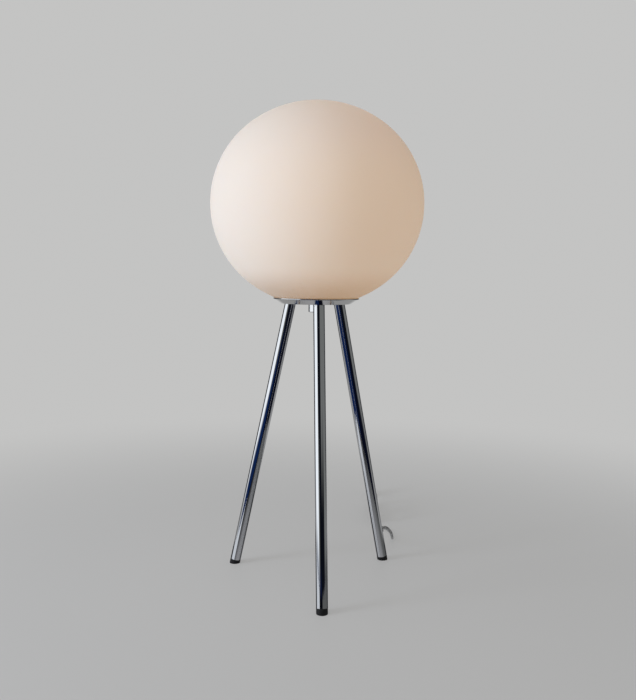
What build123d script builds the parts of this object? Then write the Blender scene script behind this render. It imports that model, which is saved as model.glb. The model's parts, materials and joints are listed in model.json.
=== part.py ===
from build123d import *
import os
from math import atan2, cos, degrees, radians, sin, tan

# Glass globe table lamp on three splayed tube legs.
# Millimetres, +Z up. The origin is on the standing surface, below the axis of the globe.

CLOSE = 0.1              # how near a corner or an edge is to where it is looked for

os.makedirs("parts", exist_ok=True)

# ---- Globe ------------------------------------------------------------------------------
GLOBE_R = 150.0          # half the width of the blown globe, which is a little flattened
GLOBE_HALF_HEIGHT = 142.1
GLOBE_Z = 540.6          # height of the globe's centre
GLASS_WALL = 3.0
MOUTH_R = 50.0
ARRIS = 0.5              # ground off both edges of the mouth

# ---- Dish that carries the globe --------------------------------------------------------
DISH_Z = 401.5           # underside of the flat floor
DISH_FLOOR_R = 50.0
DISH_RIM_R = 61.7
DISH_RIM_Z = 409.1       # centre of the rolled bead
FLOOR_BEND_R = 2.5       # outside of the bend between floor and wall
SHEET = 1.2              # thickness of the spun and pressed steel
BEAD_R = 1.3
FLOOR_TOP = DISH_Z + SHEET

# ---- Legs -------------------------------------------------------------------------------
LEG_ANGLES = {"front": -84.5, "right": 35.5, "left": 155.5}
LEG_TOP_R = 41.0         # circle of the leg axes at the underside of the dish
LEG_FOOT_R = 132.8       # the same circle on the standing surface
LEG_R = 8.0
LEG_WALL = 1.2
LEG_BORE_R = LEG_R - LEG_WALL
FOOT_GAP = 7.0           # height of the tube's lower end, on the leg's axis
LEG_TUBE_LONG = DISH_Z * 1.2    # longer than needed, before its top is cut level

# ---- Fixings ----------------------------------------------------------------------------
NIPPLE_R = 5.0           # M10 x 1 hollow nipple
NIPPLE_BORE_R = 3.5
HOLE_R = 5.1
NUT_ACROSS_FLATS = 14.0
NUT_H = 2.5
WASHER_H = 0.8
WASHER_R = 8.0

# ---- Holder stack -----------------------------------------------------------------------
PLATFORM_Z = 430.0       # underside of the raised middle of the bridge
HOLDER_Z = 432.0         # foot of the lampholder's cap
HOLDER_R = 19.5
CONTACT_Z = HOLDER_Z + 23.0   # tip of the bulb's end contact
BULB_R = 30.0
BULB_Z = CONTACT_Z + 76.0     # centre of the bulb's round end

# ---- Dimmer -----------------------------------------------------------------------------
DIMMER_R = 13.0
DIMMER_H = 12.0
SPINDLE_R = 3.0
KNOB_R = 11.0
KNOB_TOP = 400.7
KNOB_H = 11.4
RUNNING_GAP = 0.05       # radial play of the spindle in its bush

# ---- Mains cord -------------------------------------------------------------------------
CORD_R = 2.5
CORD_D = 2 * CORD_R
EXIT_HEIGHT = 44.0       # height of the exit hole on the leg's axis
EXIT_TURN = 25.0         # the hole faces behind the lamp, this far round the leg
GROMMET_REACH = 9.5      # outer face of the grommet, from the leg's axis
CORE_R = 0.9             # inner wires
CABLE_PLAY = 0.05        # radial play of the cable in its grommet


def circle_point(radius, angle, height):
    """Point at a radius and angle round the lamp's axis."""
    return Vector(radius * cos(radians(angle)), radius * sin(radians(angle)), height)


def radial_plane(angle):
    """Upright plane through the lamp's axis: local x runs outwards, local y runs up."""
    outwards = circle_point(1, angle, 0)
    return Plane(origin=(0, 0, 0), x_dir=outwards, z_dir=outwards.cross(Vector(0, 0, 1)))


def leg_plane(angle, height):
    """Plane square to a leg's axis: local x points away from the lamp, local z up the leg."""
    foot = circle_point(LEG_FOOT_R, angle, 0)
    top = circle_point(LEG_TOP_R, angle, DISH_Z)
    centre = foot + (top - foot) * (height / DISH_Z)
    upwards = (top - foot).normalized()
    sideways = Vector(0, 0, 1).cross(circle_point(1, angle, 0))
    return Plane(origin=centre, x_dir=sideways.cross(upwards), z_dir=upwards)


def exit_hole_plane(angle):
    """Plane square to a leg at the cable's exit: local x points out through the hole."""
    return leg_plane(angle, EXIT_HEIGHT).rotated((0, 0, EXIT_TURN))


def bend_radii(points, share=0.45):
    """Radius of each arc of a route: a share of its shorter run, over tan(half the turn)."""
    radii = []
    for before, here, after in zip(points, points[1:], points[2:]):
        run_in = here - before
        run_out = after - here
        turn = radians(run_in.get_angle(run_out))
        radii.append(share * min(run_in.length, run_out.length) / tan(turn / 2))
    return radii


# ---- Opal glass globe -------------------------------------------------------------------
# Its section is an oval of tangent arcs: a tighter one at the side, and a flatter one above
# and one below, whose centres are on the axis.
SIDE_ARC_SHARE = 0.92    # radius of the side arc, as a share of the half width
with BuildPart() as glass_globe:
    for inset, mode in ((0.0, Mode.ADD), (GLASS_WALL, Mode.SUBTRACT)):
        half_w = GLOBE_R - inset
        half_h = GLOBE_HALF_HEIGHT - inset
        side_r = half_w * SIDE_ARC_SHARE
        side_shift = half_w - side_r
        pole_r = (side_shift ** 2 + half_h ** 2 - side_r ** 2) / (2 * (half_h - side_r))
        pole_shift = pole_r - half_h
        joint = degrees(atan2(pole_shift, side_shift))
        with BuildSketch(Plane.XZ):
            with BuildLine():
                lower = CenterArc((0, GLOBE_Z + pole_shift), pole_r, -90, 90 - joint)
                CenterArc((side_shift, GLOBE_Z), side_r, -joint, 2 * joint)
                upper = CenterArc((0, GLOBE_Z - pole_shift), pole_r, joint, 90 - joint)
                Line(upper @ 1, lower @ 0)
            make_face()
        revolve(axis=Axis.Z, mode=mode)
    with BuildSketch(Plane.XY.offset(GLOBE_Z - GLOBE_R)):
        Circle(MOUTH_R)
    extrude(amount=GLOBE_R / 2, mode=Mode.SUBTRACT)
    mouth_edges = glass_globe.edges().filter_by(
        lambda edge: edge.geom_type == GeomType.CIRCLE and abs(edge.radius - MOUTH_R) < CLOSE)
    chamfer(mouth_edges, ARRIS)
glass_globe.part.label = "glass_globe"
export_step(glass_globe.part, "parts/glass_globe.step")

# ---- Spun dish with a rolled rim --------------------------------------------------------
bead_centre = Vector(DISH_RIM_R - BEAD_R, DISH_RIM_Z)
wall_start = Vector(DISH_FLOOR_R, DISH_Z)
wall_angle = atan2(bead_centre.Y - wall_start.Y - SHEET / 2, bead_centre.X - wall_start.X)
wall_run = Vector(cos(wall_angle), sin(wall_angle)) * (bead_centre - wall_start).length
wall_depth = Vector(-sin(wall_angle), cos(wall_angle)) * SHEET
inner_corner_r = DISH_FLOOR_R - SHEET * tan(wall_angle / 2)
with BuildPart() as dish:
    with BuildSketch(Plane.XZ) as dish_section:
        with BuildLine():
            Polyline(
                (0, DISH_Z),
                (wall_start.X, wall_start.Y),
                (wall_start.X + wall_run.X, wall_start.Y + wall_run.Y),
                (wall_start.X + wall_run.X + wall_depth.X,
                 wall_start.Y + wall_run.Y + wall_depth.Y),
                (inner_corner_r, FLOOR_TOP),
                (0, FLOOR_TOP),
                close=True,
            )
        make_face()
        for corner_r, bend_r in ((DISH_FLOOR_R, FLOOR_BEND_R), (inner_corner_r, FLOOR_BEND_R - SHEET)):
            corner = dish_section.vertices().filter_by_position(
                Axis.X, corner_r - CLOSE, corner_r + CLOSE)
            fillet(corner, bend_r)
        with Locations((bead_centre.X, bead_centre.Y)):
            Circle(BEAD_R)
    revolve(axis=Axis.Z)
    with Locations(Plane.XY.offset(FLOOR_TOP)):
        Hole(HOLE_R)
        with PolarLocations(LEG_TOP_R, 3, start_angle=LEG_ANGLES["front"]):
            Hole(HOLE_R)
dish.part.label = "dish"
export_step(dish.part, "parts/dish.step")

# ---- Legs: tube, top insert and rubber foot on each -------------------------------------
INSERT_DROP = 12.0       # height of the insert inside the tube
THREAD_DROP = 7.0        # how far the nipple is screwed into it
FOOT_STEM = 16.0
FOOT_R = 7.8
STEM_SLACK = 0.8         # between the stem and the tube, taken up by the ribs
RIB_PITCH = 4.0
RIB_H = 1.6
RIB_TAPER = 14.0
EXIT_HOLE_R = CORD_R + 1.4
for side, angle in LEG_ANGLES.items():
    tube_end = leg_plane(angle, FOOT_GAP)
    top_point = circle_point(LEG_TOP_R, angle, DISH_Z)
    cut_top = Plane(origin=top_point, z_dir=(0, 0, -1))

    with BuildPart() as leg_tube:
        with BuildSketch(tube_end):
            Circle(LEG_R)
            Circle(LEG_BORE_R, mode=Mode.SUBTRACT)
        extrude(amount=LEG_TUBE_LONG)
        split(bisect_by=cut_top, keep=Keep.TOP)
        if side == "right":
            hole = exit_hole_plane(angle)
            with BuildSketch(Plane(origin=hole.origin, x_dir=hole.z_dir, z_dir=hole.x_dir)):
                Circle(EXIT_HOLE_R)
            extrude(amount=LEG_R + 1, mode=Mode.SUBTRACT)
    leg_tube.part.label = f"leg_tube_{side}"
    export_step(leg_tube.part, f"parts/leg_tube_{side}.step")

    # Turned plug in the top of the tube, threaded upright for the nipple.
    with BuildPart() as leg_insert:
        with BuildSketch(leg_plane(angle, DISH_Z - INSERT_DROP)):
            Circle(LEG_BORE_R)
        extrude(amount=INSERT_DROP * 2)
        split(bisect_by=cut_top, keep=Keep.TOP)
        with BuildSketch(Plane(origin=top_point)):
            Circle(NIPPLE_R)
        extrude(amount=-THREAD_DROP, mode=Mode.SUBTRACT)
        with BuildSketch(Plane(origin=top_point)):
            Circle(NIPPLE_BORE_R)
        extrude(amount=-2 * INSERT_DROP, mode=Mode.SUBTRACT)
    leg_insert.part.label = f"leg_insert_{side}"
    export_step(leg_insert.part, f"parts/leg_insert_{side}.step")

    # Rubber foot: a head cut level with the floor, and a ribbed stem up the tube.
    with BuildPart() as rubber_foot:
        with BuildSketch(tube_end):
            Circle(FOOT_R)
        extrude(amount=-FOOT_GAP * 2)
        with BuildSketch(tube_end):
            Circle(LEG_BORE_R - STEM_SLACK)
        extrude(amount=FOOT_STEM)
        for rib in range(1, 4):
            with BuildSketch(tube_end.offset(rib * RIB_PITCH)):
                Circle(LEG_BORE_R)
            extrude(amount=RIB_H, taper=RIB_TAPER)
        split(bisect_by=Plane.XY, keep=Keep.TOP)
    rubber_foot.part.label = f"rubber_foot_{side}"
    export_step(rubber_foot.part, f"parts/rubber_foot_{side}.step")

# ---- Bridge that carries the lampholder over the dimmer ---------------------------------
ARM_W = 9.0
ARM_LOW_BEND_R = 31.0    # corners of an arm, from the lamp's axis
ARM_TOP_BEND_R = 19.0
ARM_BEND = 3.0
PLATFORM_R = 15.0
with BuildPart() as holder_bridge:
    for angle in LEG_ANGLES.values():
        with BuildSketch(radial_plane(angle)):
            with BuildLine():
                FilletPolyline(
                    (LEG_TOP_R, FLOOR_TOP), (ARM_LOW_BEND_R, FLOOR_TOP),
                    (ARM_TOP_BEND_R, PLATFORM_Z), (0, PLATFORM_Z),
                    radius=ARM_BEND)
                offset(amount=SHEET, side=Side.RIGHT)
            make_face()
        extrude(amount=ARM_W / 2, both=True)
    with BuildSketch(Plane.XY.offset(FLOOR_TOP)):
        with PolarLocations(LEG_TOP_R, 3, start_angle=LEG_ANGLES["front"]):
            Circle(WASHER_R)
    extrude(amount=SHEET)
    with BuildSketch(Plane.XY.offset(PLATFORM_Z)):
        Circle(PLATFORM_R)
    extrude(amount=SHEET)
    with Locations(Plane.XY.offset(PLATFORM_Z + SHEET)):
        Hole(HOLE_R, depth=2 * SHEET)
    with Locations(Plane.XY.offset(FLOOR_TOP + SHEET)):
        with PolarLocations(LEG_TOP_R, 3, start_angle=LEG_ANGLES["front"]):
            Hole(HOLE_R, depth=2 * SHEET)
holder_bridge.part.label = "holder_bridge"
export_step(holder_bridge.part, "parts/holder_bridge.step")

# ---- Sprung clip: three leaves that press on the edge of the globe's mouth --------------
LEAF = 0.8
LEAF_W = 10.0
LEAF_REACH = MOUTH_R - 0.3
LEAF_PRESS_Z = 408.5     # height at which a leaf presses on the mouth
LEAF_BEND = 2.5
HUB_R = 14.0
with BuildPart() as globe_clip:
    for angle in LEG_ANGLES.values():
        with BuildSketch(radial_plane(angle + 60)):
            with BuildLine():
                FilletPolyline(
                    (0, HOLDER_Z), (31, HOLDER_Z), (43, HOLDER_Z - 8),
                    (LEAF_REACH, LEAF_PRESS_Z), (LEAF_REACH - 3.5, LEAF_PRESS_Z - 3.9),
                    radius=LEAF_BEND)
                offset(amount=LEAF, side=Side.RIGHT)
            make_face()
        extrude(amount=LEAF_W / 2, both=True)
    with BuildSketch(Plane.XY.offset(HOLDER_Z - LEAF)):
        Circle(HUB_R)
    extrude(amount=LEAF)
    with Locations(Plane.XY.offset(HOLDER_Z)):
        Hole(HOLE_R, depth=2 * LEAF)
globe_clip.part.label = "globe_clip"
export_step(globe_clip.part, "parts/globe_clip.step")

# ---- Nipples, washers and nuts ----------------------------------------------------------
NIPPLE_LOW = DISH_Z - THREAD_DROP
NIPPLE_TOP = 407.8
with BuildPart() as leg_nipples:
    with BuildSketch(Plane.XY.offset(NIPPLE_LOW)):
        with PolarLocations(LEG_TOP_R, 3, start_angle=LEG_ANGLES["front"]):
            Circle(NIPPLE_R)
            Circle(NIPPLE_BORE_R, mode=Mode.SUBTRACT)
    extrude(amount=NIPPLE_TOP - NIPPLE_LOW)
leg_nipples.part.label = "leg_nipples"
export_step(leg_nipples.part, "parts/leg_nipples.step")

with BuildPart() as leg_washers:
    with BuildSketch(Plane.XY.offset(FLOOR_TOP + SHEET)):
        with PolarLocations(LEG_TOP_R, 3, start_angle=LEG_ANGLES["front"]):
            Circle(WASHER_R)
            Circle(HOLE_R, mode=Mode.SUBTRACT)
    extrude(amount=WASHER_H)
leg_washers.part.label = "leg_washers"
export_step(leg_washers.part, "parts/leg_washers.step")

NUT_CIRCUMRADIUS = NUT_ACROSS_FLATS / 2 / cos(radians(30))
NUT_ARRIS = 0.4
with BuildPart() as leg_nuts:
    with BuildSketch(Plane.XY.offset(FLOOR_TOP + SHEET + WASHER_H)):
        with PolarLocations(LEG_TOP_R, 3, start_angle=LEG_ANGLES["front"]):
            RegularPolygon(NUT_CIRCUMRADIUS, 6, rotation=30)
            Circle(NIPPLE_R, mode=Mode.SUBTRACT)
    extrude(amount=NUT_H)
    chamfer(leg_nuts.faces().sort_by(Axis.Z)[-3:].edges().filter_by(GeomType.LINE), NUT_ARRIS)
leg_nuts.part.label = "leg_nuts"
export_step(leg_nuts.part, "parts/leg_nuts.step")

HOLDER_NIPPLE_LOW = PLATFORM_Z - NUT_H - 1.0
with BuildPart() as holder_nipple:
    with BuildSketch(Plane.XY.offset(HOLDER_NIPPLE_LOW)):
        Circle(NIPPLE_R)
        Circle(NIPPLE_BORE_R, mode=Mode.SUBTRACT)
    extrude(amount=HOLDER_Z + 8.0 - HOLDER_NIPPLE_LOW)
holder_nipple.part.label = "holder_nipple"
export_step(holder_nipple.part, "parts/holder_nipple.step")

with BuildPart() as holder_nut:
    with BuildSketch(Plane.XY.offset(PLATFORM_Z - NUT_H)):
        RegularPolygon(NUT_CIRCUMRADIUS, 6)
        Circle(NIPPLE_R, mode=Mode.SUBTRACT)
    extrude(amount=NUT_H)
holder_nut.part.label = "holder_nut"
export_step(holder_nut.part, "parts/holder_nut.step")

# ---- Lampholder, E27 --------------------------------------------------------------------
CAP_TOP = HOLDER_Z + 15.0
HOLDER_WALL = 1.8
BOSS_R = 8.5             # threaded boss in the cap, for the nipple
BOSS_TOP = HOLDER_Z + 9.0
with BuildPart() as holder_cap:
    dome_top = (HOLDER_R, HOLDER_Z + 10)
    inner_dome_top = (HOLDER_R - HOLDER_WALL, HOLDER_Z + 10.6)
    inner_dome_foot = (BOSS_R, HOLDER_Z + 2.2)
    with BuildSketch(Plane.XZ):
        with BuildLine():
            Line((0, HOLDER_Z), (BOSS_R, HOLDER_Z))
            ThreePointArc((BOSS_R, HOLDER_Z), (16.6, HOLDER_Z + 3.6), dome_top)
            Polyline(
                dome_top, (HOLDER_R, CAP_TOP), (HOLDER_R - HOLDER_WALL, CAP_TOP), inner_dome_top)
            ThreePointArc(inner_dome_top, (15.2, HOLDER_Z + 5.0), inner_dome_foot)
            Polyline(inner_dome_foot, (BOSS_R, BOSS_TOP), (0, BOSS_TOP), (0, HOLDER_Z))
        make_face()
    revolve(axis=Axis.Z)
    with Locations(Plane.XY.offset(BOSS_TOP)):
        Hole(NIPPLE_R, depth=2 * (BOSS_TOP - HOLDER_Z))
holder_cap.part.label = "holder_cap"
export_step(holder_cap.part, "parts/holder_cap.step")

SHELL_TOP = HOLDER_Z + 44.0
SHELL_MOUTH_R = 15.2
SHELL_ROUND = 1.0
GROOVE_W = 1.6
GROOVE_PITCH = 4.0
GROOVE_DEPTH = 0.6
FRONT_RING_H = 1.6
with BuildPart() as holder_shell:
    with BuildSketch(Plane.XY.offset(CAP_TOP)):
        Circle(HOLDER_R)
        Circle(HOLDER_R - HOLDER_WALL, mode=Mode.SUBTRACT)
    extrude(amount=SHELL_TOP - CAP_TOP)
    with BuildSketch(Plane.XY.offset(SHELL_TOP - FRONT_RING_H)):
        Circle(HOLDER_R)
        Circle(SHELL_MOUTH_R, mode=Mode.SUBTRACT)
    extrude(amount=FRONT_RING_H)
    rim_edges = holder_shell.faces().sort_by(Axis.Z)[-1].edges().group_by(SortBy.LENGTH)[-1]
    fillet(rim_edges, SHELL_ROUND)
    # Finger grooves round the shell.
    for groove in range(3):
        with BuildSketch(Plane.XY.offset(SHELL_TOP - 18 + groove * GROOVE_PITCH)):
            Circle(HOLDER_R)
            Circle(HOLDER_R - GROOVE_DEPTH, mode=Mode.SUBTRACT)
        extrude(amount=GROOVE_W, mode=Mode.SUBTRACT)
holder_shell.part.label = "holder_shell"
export_step(holder_shell.part, "parts/holder_shell.step")

CORE_Z = CAP_TOP - 4.0
CORE_TOP = CONTACT_Z - 3.0
CORE_PLAY = 0.1          # between the ceramic core and the shell
CORE_ARRIS = 1.0
CORE_SCREW_R = 1.6       # two through holes for its screws
CORE_SCREW_CIRCLE = 11.0
with BuildPart() as holder_core:
    with BuildSketch(Plane.XY.offset(CORE_Z)):
        Circle(HOLDER_R - HOLDER_WALL - CORE_PLAY)
        with PolarLocations(CORE_SCREW_CIRCLE, 2):
            Circle(CORE_SCREW_R, mode=Mode.SUBTRACT)
    extrude(amount=CORE_TOP - CORE_Z)
    top_edges = holder_core.faces().sort_by(Axis.Z)[-1].edges().group_by(SortBy.LENGTH)[-1]
    chamfer(top_edges, CORE_ARRIS)
holder_core.part.label = "holder_core"
export_step(holder_core.part, "parts/holder_core.step")

THREAD_R = 14.3
THREAD_WALL = 0.4
THREAD_FLOOR_HOLE_R = 8.0
with BuildPart() as screw_shell:
    with BuildSketch(Plane.XY.offset(CORE_TOP)):
        Circle(THREAD_R)
        Circle(THREAD_R - THREAD_WALL, mode=Mode.SUBTRACT)
    extrude(amount=SHELL_TOP - 2.0 - CORE_TOP)
    with BuildSketch(Plane.XY.offset(CORE_TOP)):
        Circle(THREAD_R)
        Circle(THREAD_FLOOR_HOLE_R, mode=Mode.SUBTRACT)
    extrude(amount=THREAD_WALL)
screw_shell.part.label = "screw_shell"
export_step(screw_shell.part, "parts/screw_shell.step")

# Sprung tongue under the bulb's end contact.
TONGUE = 0.5             # thickness of the tongue
TONGUE_W = 5.0
TONGUE_BEND = 0.8
with BuildPart() as centre_contact:
    with BuildSketch(Plane.XZ):
        with BuildLine():
            FilletPolyline(
                (-6, CORE_TOP), (-2.5, CORE_TOP), (-1, CONTACT_Z - TONGUE), (4, CONTACT_Z - TONGUE),
                radius=TONGUE_BEND)
            offset(amount=TONGUE, side=Side.LEFT)
        make_face()
    extrude(amount=TONGUE_W / 2, both=True)
centre_contact.part.label = "centre_contact"
export_step(centre_contact.part, "parts/centre_contact.step")

# ---- Bulb -------------------------------------------------------------------------------
BULB_CAP_R = 13.1
BULB_CAP_TOP = CONTACT_Z + 27.0
BULB_CAP_LOW = CONTACT_Z + 4.0
BULB_WALL = 0.8
with BuildPart() as bulb_cap:
    with BuildSketch(Plane.XY.offset(BULB_CAP_LOW)):
        Circle(BULB_CAP_R)
    extrude(amount=BULB_CAP_TOP - BULB_CAP_LOW)
    chamfer(bulb_cap.faces().sort_by(Axis.Z)[0].edges(), 1.5)
bulb_cap.part.label = "bulb_cap"
export_step(bulb_cap.part, "parts/bulb_cap.step")

with BuildPart() as bulb_contact:
    with BuildSketch(Plane.XY.offset(BULB_CAP_LOW)):
        Circle(11.0)
    extrude(amount=-2.6, taper=35)
    with BuildSketch(Plane.XY.offset(CONTACT_Z)):
        Circle(4.0)
    extrude(amount=2.0)
    fillet(bulb_contact.faces().sort_by(Axis.Z)[0].edges(), 0.6)
bulb_contact.part.label = "bulb_contact"
export_step(bulb_contact.part, "parts/bulb_contact.step")

BULB_TURN = -50.0        # where the round end of the bulb runs into its neck


def bulb_outline(inset):
    """Closed half section of the bulb, with its wall moved in by an inset."""
    crown = CenterArc((0, BULB_Z), BULB_R - inset, BULB_TURN, 90 - BULB_TURN)
    neck_foot = (BULB_CAP_R - inset, BULB_CAP_TOP)
    flank = Spline(crown @ 0, neck_foot, tangents=[crown % 0 * -1, (0, -1)])
    Polyline(flank @ 1, (0, BULB_CAP_TOP), crown @ 1)


with BuildPart() as bulb_glass:
    with BuildSketch(Plane.XZ):
        with BuildLine():
            bulb_outline(0)
        make_face()
    revolve(axis=Axis.Z)
    with BuildSketch(Plane.XZ):
        with BuildLine():
            bulb_outline(BULB_WALL)
        make_face()
    revolve(axis=Axis.Z, mode=Mode.SUBTRACT)
bulb_glass.part.label = "bulb_glass"
export_step(bulb_glass.part, "parts/bulb_glass.step")

# ---- Dimmer under the bridge, its spindle through the dish and its knob below -----------
BUSH_LOW = KNOB_TOP - 4.0
BUSH_BORE_DEPTH = 12.0
DIMMER_ROUND = 1.5
DIMMER_NUT_H = 2.0
with BuildPart() as dimmer_body:
    with BuildSketch(Plane.XY.offset(FLOOR_TOP)):
        Circle(DIMMER_R)
    extrude(amount=DIMMER_H)
    fillet(dimmer_body.edges().group_by(Axis.Z)[-1], DIMMER_ROUND)
    with BuildSketch(Plane.XY.offset(BUSH_LOW)):
        Circle(NIPPLE_R)
    extrude(amount=FLOOR_TOP - BUSH_LOW)
    with BuildSketch(Plane.XY.offset(BUSH_LOW)):
        Circle(SPINDLE_R + RUNNING_GAP)
    extrude(amount=BUSH_BORE_DEPTH, mode=Mode.SUBTRACT)
dimmer_body.part.label = "dimmer_body"
export_step(dimmer_body.part, "parts/dimmer_body.step")

with BuildPart() as dimmer_nut:
    with BuildSketch(Plane.XY.offset(DISH_Z - DIMMER_NUT_H)):
        RegularPolygon(NUT_CIRCUMRADIUS, 6)
        Circle(NIPPLE_R, mode=Mode.SUBTRACT)
    extrude(amount=DIMMER_NUT_H)
dimmer_nut.part.label = "dimmer_nut"
export_step(dimmer_nut.part, "parts/dimmer_nut.step")

KNOB_LOW = KNOB_TOP - KNOB_H
FLAT_DEPTH = 1.5         # flat on the spindle, for the grub screw
FLAT_L = 6.0
SPINDLE_LOW = KNOB_LOW + 2.0
SPINDLE_TOP = BUSH_LOW + BUSH_BORE_DEPTH - 0.5
with BuildPart() as dimmer_spindle:
    with BuildSketch(Plane.XY.offset(SPINDLE_LOW)):
        Circle(SPINDLE_R)
    extrude(amount=SPINDLE_TOP - SPINDLE_LOW)
    with BuildSketch(Plane.XY.offset(SPINDLE_LOW)):
        with Locations((0, SPINDLE_R)):
            Rectangle(2 * SPINDLE_R, 2 * FLAT_DEPTH)
    extrude(amount=FLAT_L, mode=Mode.SUBTRACT)
dimmer_spindle.part.label = "dimmer_spindle"
export_step(dimmer_spindle.part, "parts/dimmer_spindle.step")

GRUB_Z = KNOB_LOW + 5.0
GRUB_R = 1.5
GRUB_L = 7.0
KNOB_ROUND = 1.2
KNOB_ARRIS = 0.4
INDEX_W = 1.0
INDEX_DEPTH = 0.4
NUT_ROOM = 0.5           # round the nut that the knob covers
with BuildPart() as dimmer_knob:
    with BuildSketch(Plane.XY.offset(KNOB_LOW)):
        Circle(KNOB_R)
    extrude(amount=KNOB_H)
    fillet(dimmer_knob.edges().group_by(Axis.Z)[0], KNOB_ROUND)
    chamfer(dimmer_knob.edges().group_by(Axis.Z)[-1], KNOB_ARRIS)
    with BuildSketch(Plane.XY.offset(KNOB_TOP)):
        Circle(NUT_CIRCUMRADIUS + NUT_ROOM)
    extrude(amount=-2.6, mode=Mode.SUBTRACT)
    with BuildSketch(Plane.XY.offset(KNOB_TOP)):
        Circle(NIPPLE_R + NUT_ROOM + CLOSE)
    extrude(amount=-4.6, mode=Mode.SUBTRACT)
    with BuildSketch(Plane.XY.offset(SPINDLE_LOW)):
        Circle(SPINDLE_R)
        with Locations((0, SPINDLE_R)):
            Rectangle(2 * SPINDLE_R, 2 * FLAT_DEPTH, mode=Mode.SUBTRACT)
    extrude(amount=FLAT_L, mode=Mode.SUBTRACT)
    with BuildSketch(Plane.XZ.offset(-KNOB_R - 1)):
        with Locations((0, GRUB_Z)):
            Circle(GRUB_R)
    extrude(amount=KNOB_R, mode=Mode.SUBTRACT)
    # Index line across the end of the knob.
    with BuildSketch(Plane.XY.offset(KNOB_LOW)):
        with Locations((0, -KNOB_R / 2 - 1.5)):
            Rectangle(INDEX_W, KNOB_R - 4.5)
    extrude(amount=INDEX_DEPTH, mode=Mode.SUBTRACT)
dimmer_knob.part.label = "dimmer_knob"
export_step(dimmer_knob.part, "parts/dimmer_knob.step")

GRUB_TIP = SPINDLE_R - FLAT_DEPTH
with BuildPart() as knob_grub_screw:
    with BuildSketch(Plane.XZ.offset(-GRUB_TIP)):
        with Locations((0, GRUB_Z)):
            Circle(GRUB_R)
    extrude(amount=-GRUB_L)
    # Hexagon socket for its key.
    with BuildSketch(Plane.XZ.offset(-(GRUB_TIP + GRUB_L))):
        with Locations((0, GRUB_Z)):
            RegularPolygon(0.85, 6)
    extrude(amount=2.0, mode=Mode.SUBTRACT)
knob_grub_screw.part.label = "knob_grub_screw"
export_step(knob_grub_screw.part, "parts/knob_grub_screw.step")

# ---- Terminal block and wiring in the dish ----------------------------------------------
BLOCK_ANGLE = LEG_ANGLES["right"] + 60
BLOCK_R = 27.0           # middle of the block, from the lamp's axis
BLOCK_L = 24.0
BLOCK_W = 16.0
BLOCK_H = 11.0
POLE_PITCH = 8.0
WIRE_Z = FLOOR_TOP + 5.0


def block_point(outwards, sideways, height):
    """Point in the terminal block's own directions: outwards, to its right, and height."""
    return circle_point(outwards, BLOCK_ANGLE, height) + circle_point(sideways, BLOCK_ANGLE - 90, 0)


block_out = circle_point(1, BLOCK_ANGLE, 0)
block_right = circle_point(1, BLOCK_ANGLE - 90, 0)
block_plane = Plane(origin=block_point(BLOCK_R, 0, FLOOR_TOP), x_dir=block_out, z_dir=(0, 0, 1))
wire_hole_plane = Plane(
    origin=block_point(BLOCK_R, 0, WIRE_Z), x_dir=block_out, z_dir=block_right)
COLLAR_H = 3.0           # round collars over the screws
COLLAR_R = 3.0
SCREW_HOLE_R = 2.0
SCREW_HOLE_DEPTH = 4.0
WIRE_HOLE_R = 1.5
with BuildPart() as terminal_block:
    with BuildSketch(block_plane):
        RectangleRounded(BLOCK_L, BLOCK_W, 1.0)
    extrude(amount=BLOCK_H - COLLAR_H)
    with BuildSketch(block_plane.offset(BLOCK_H - COLLAR_H)):
        with GridLocations(POLE_PITCH, POLE_PITCH, 3, 2):
            Circle(COLLAR_R)
    extrude(amount=COLLAR_H)
    with BuildSketch(block_plane.offset(BLOCK_H)):
        with GridLocations(POLE_PITCH, POLE_PITCH, 3, 2):
            Circle(SCREW_HOLE_R)
    extrude(amount=-SCREW_HOLE_DEPTH, mode=Mode.SUBTRACT)
    with BuildSketch(wire_hole_plane):
        with GridLocations(POLE_PITCH, POLE_PITCH, 3, 1):
            Circle(WIRE_HOLE_R)
    extrude(amount=BLOCK_W, both=True, mode=Mode.SUBTRACT)
terminal_block.part.label = "terminal_block"
export_step(terminal_block.part, "parts/terminal_block.step")

SCREW_R = SCREW_HOLE_R - 0.1
SCREW_H = 2.4
SLOT_W = 0.6
SLOT_DEPTH = 0.8
screw_low = BLOCK_H - SCREW_HOLE_DEPTH
with BuildPart() as terminal_screws:
    with BuildSketch(block_plane.offset(screw_low)):
        with GridLocations(POLE_PITCH, POLE_PITCH, 3, 2):
            Circle(SCREW_R)
    extrude(amount=SCREW_H)
    with BuildSketch(block_plane.offset(screw_low + SCREW_H)):
        with GridLocations(POLE_PITCH, POLE_PITCH, 3, 2):
            Rectangle(2 * SCREW_R + CLOSE, SLOT_W)
    extrude(amount=-SLOT_DEPTH, mode=Mode.SUBTRACT)
terminal_screws.part.label = "terminal_screws"
export_step(terminal_screws.part, "parts/terminal_screws.step")

BLOCK_FACE = BLOCK_W / 2
inner_pole = BLOCK_R - POLE_PITCH
outer_pole = BLOCK_R + POLE_PITCH
sheath_top = 411.0
WIRE_BEND = 6.0          # largest bend of a wire
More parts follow.
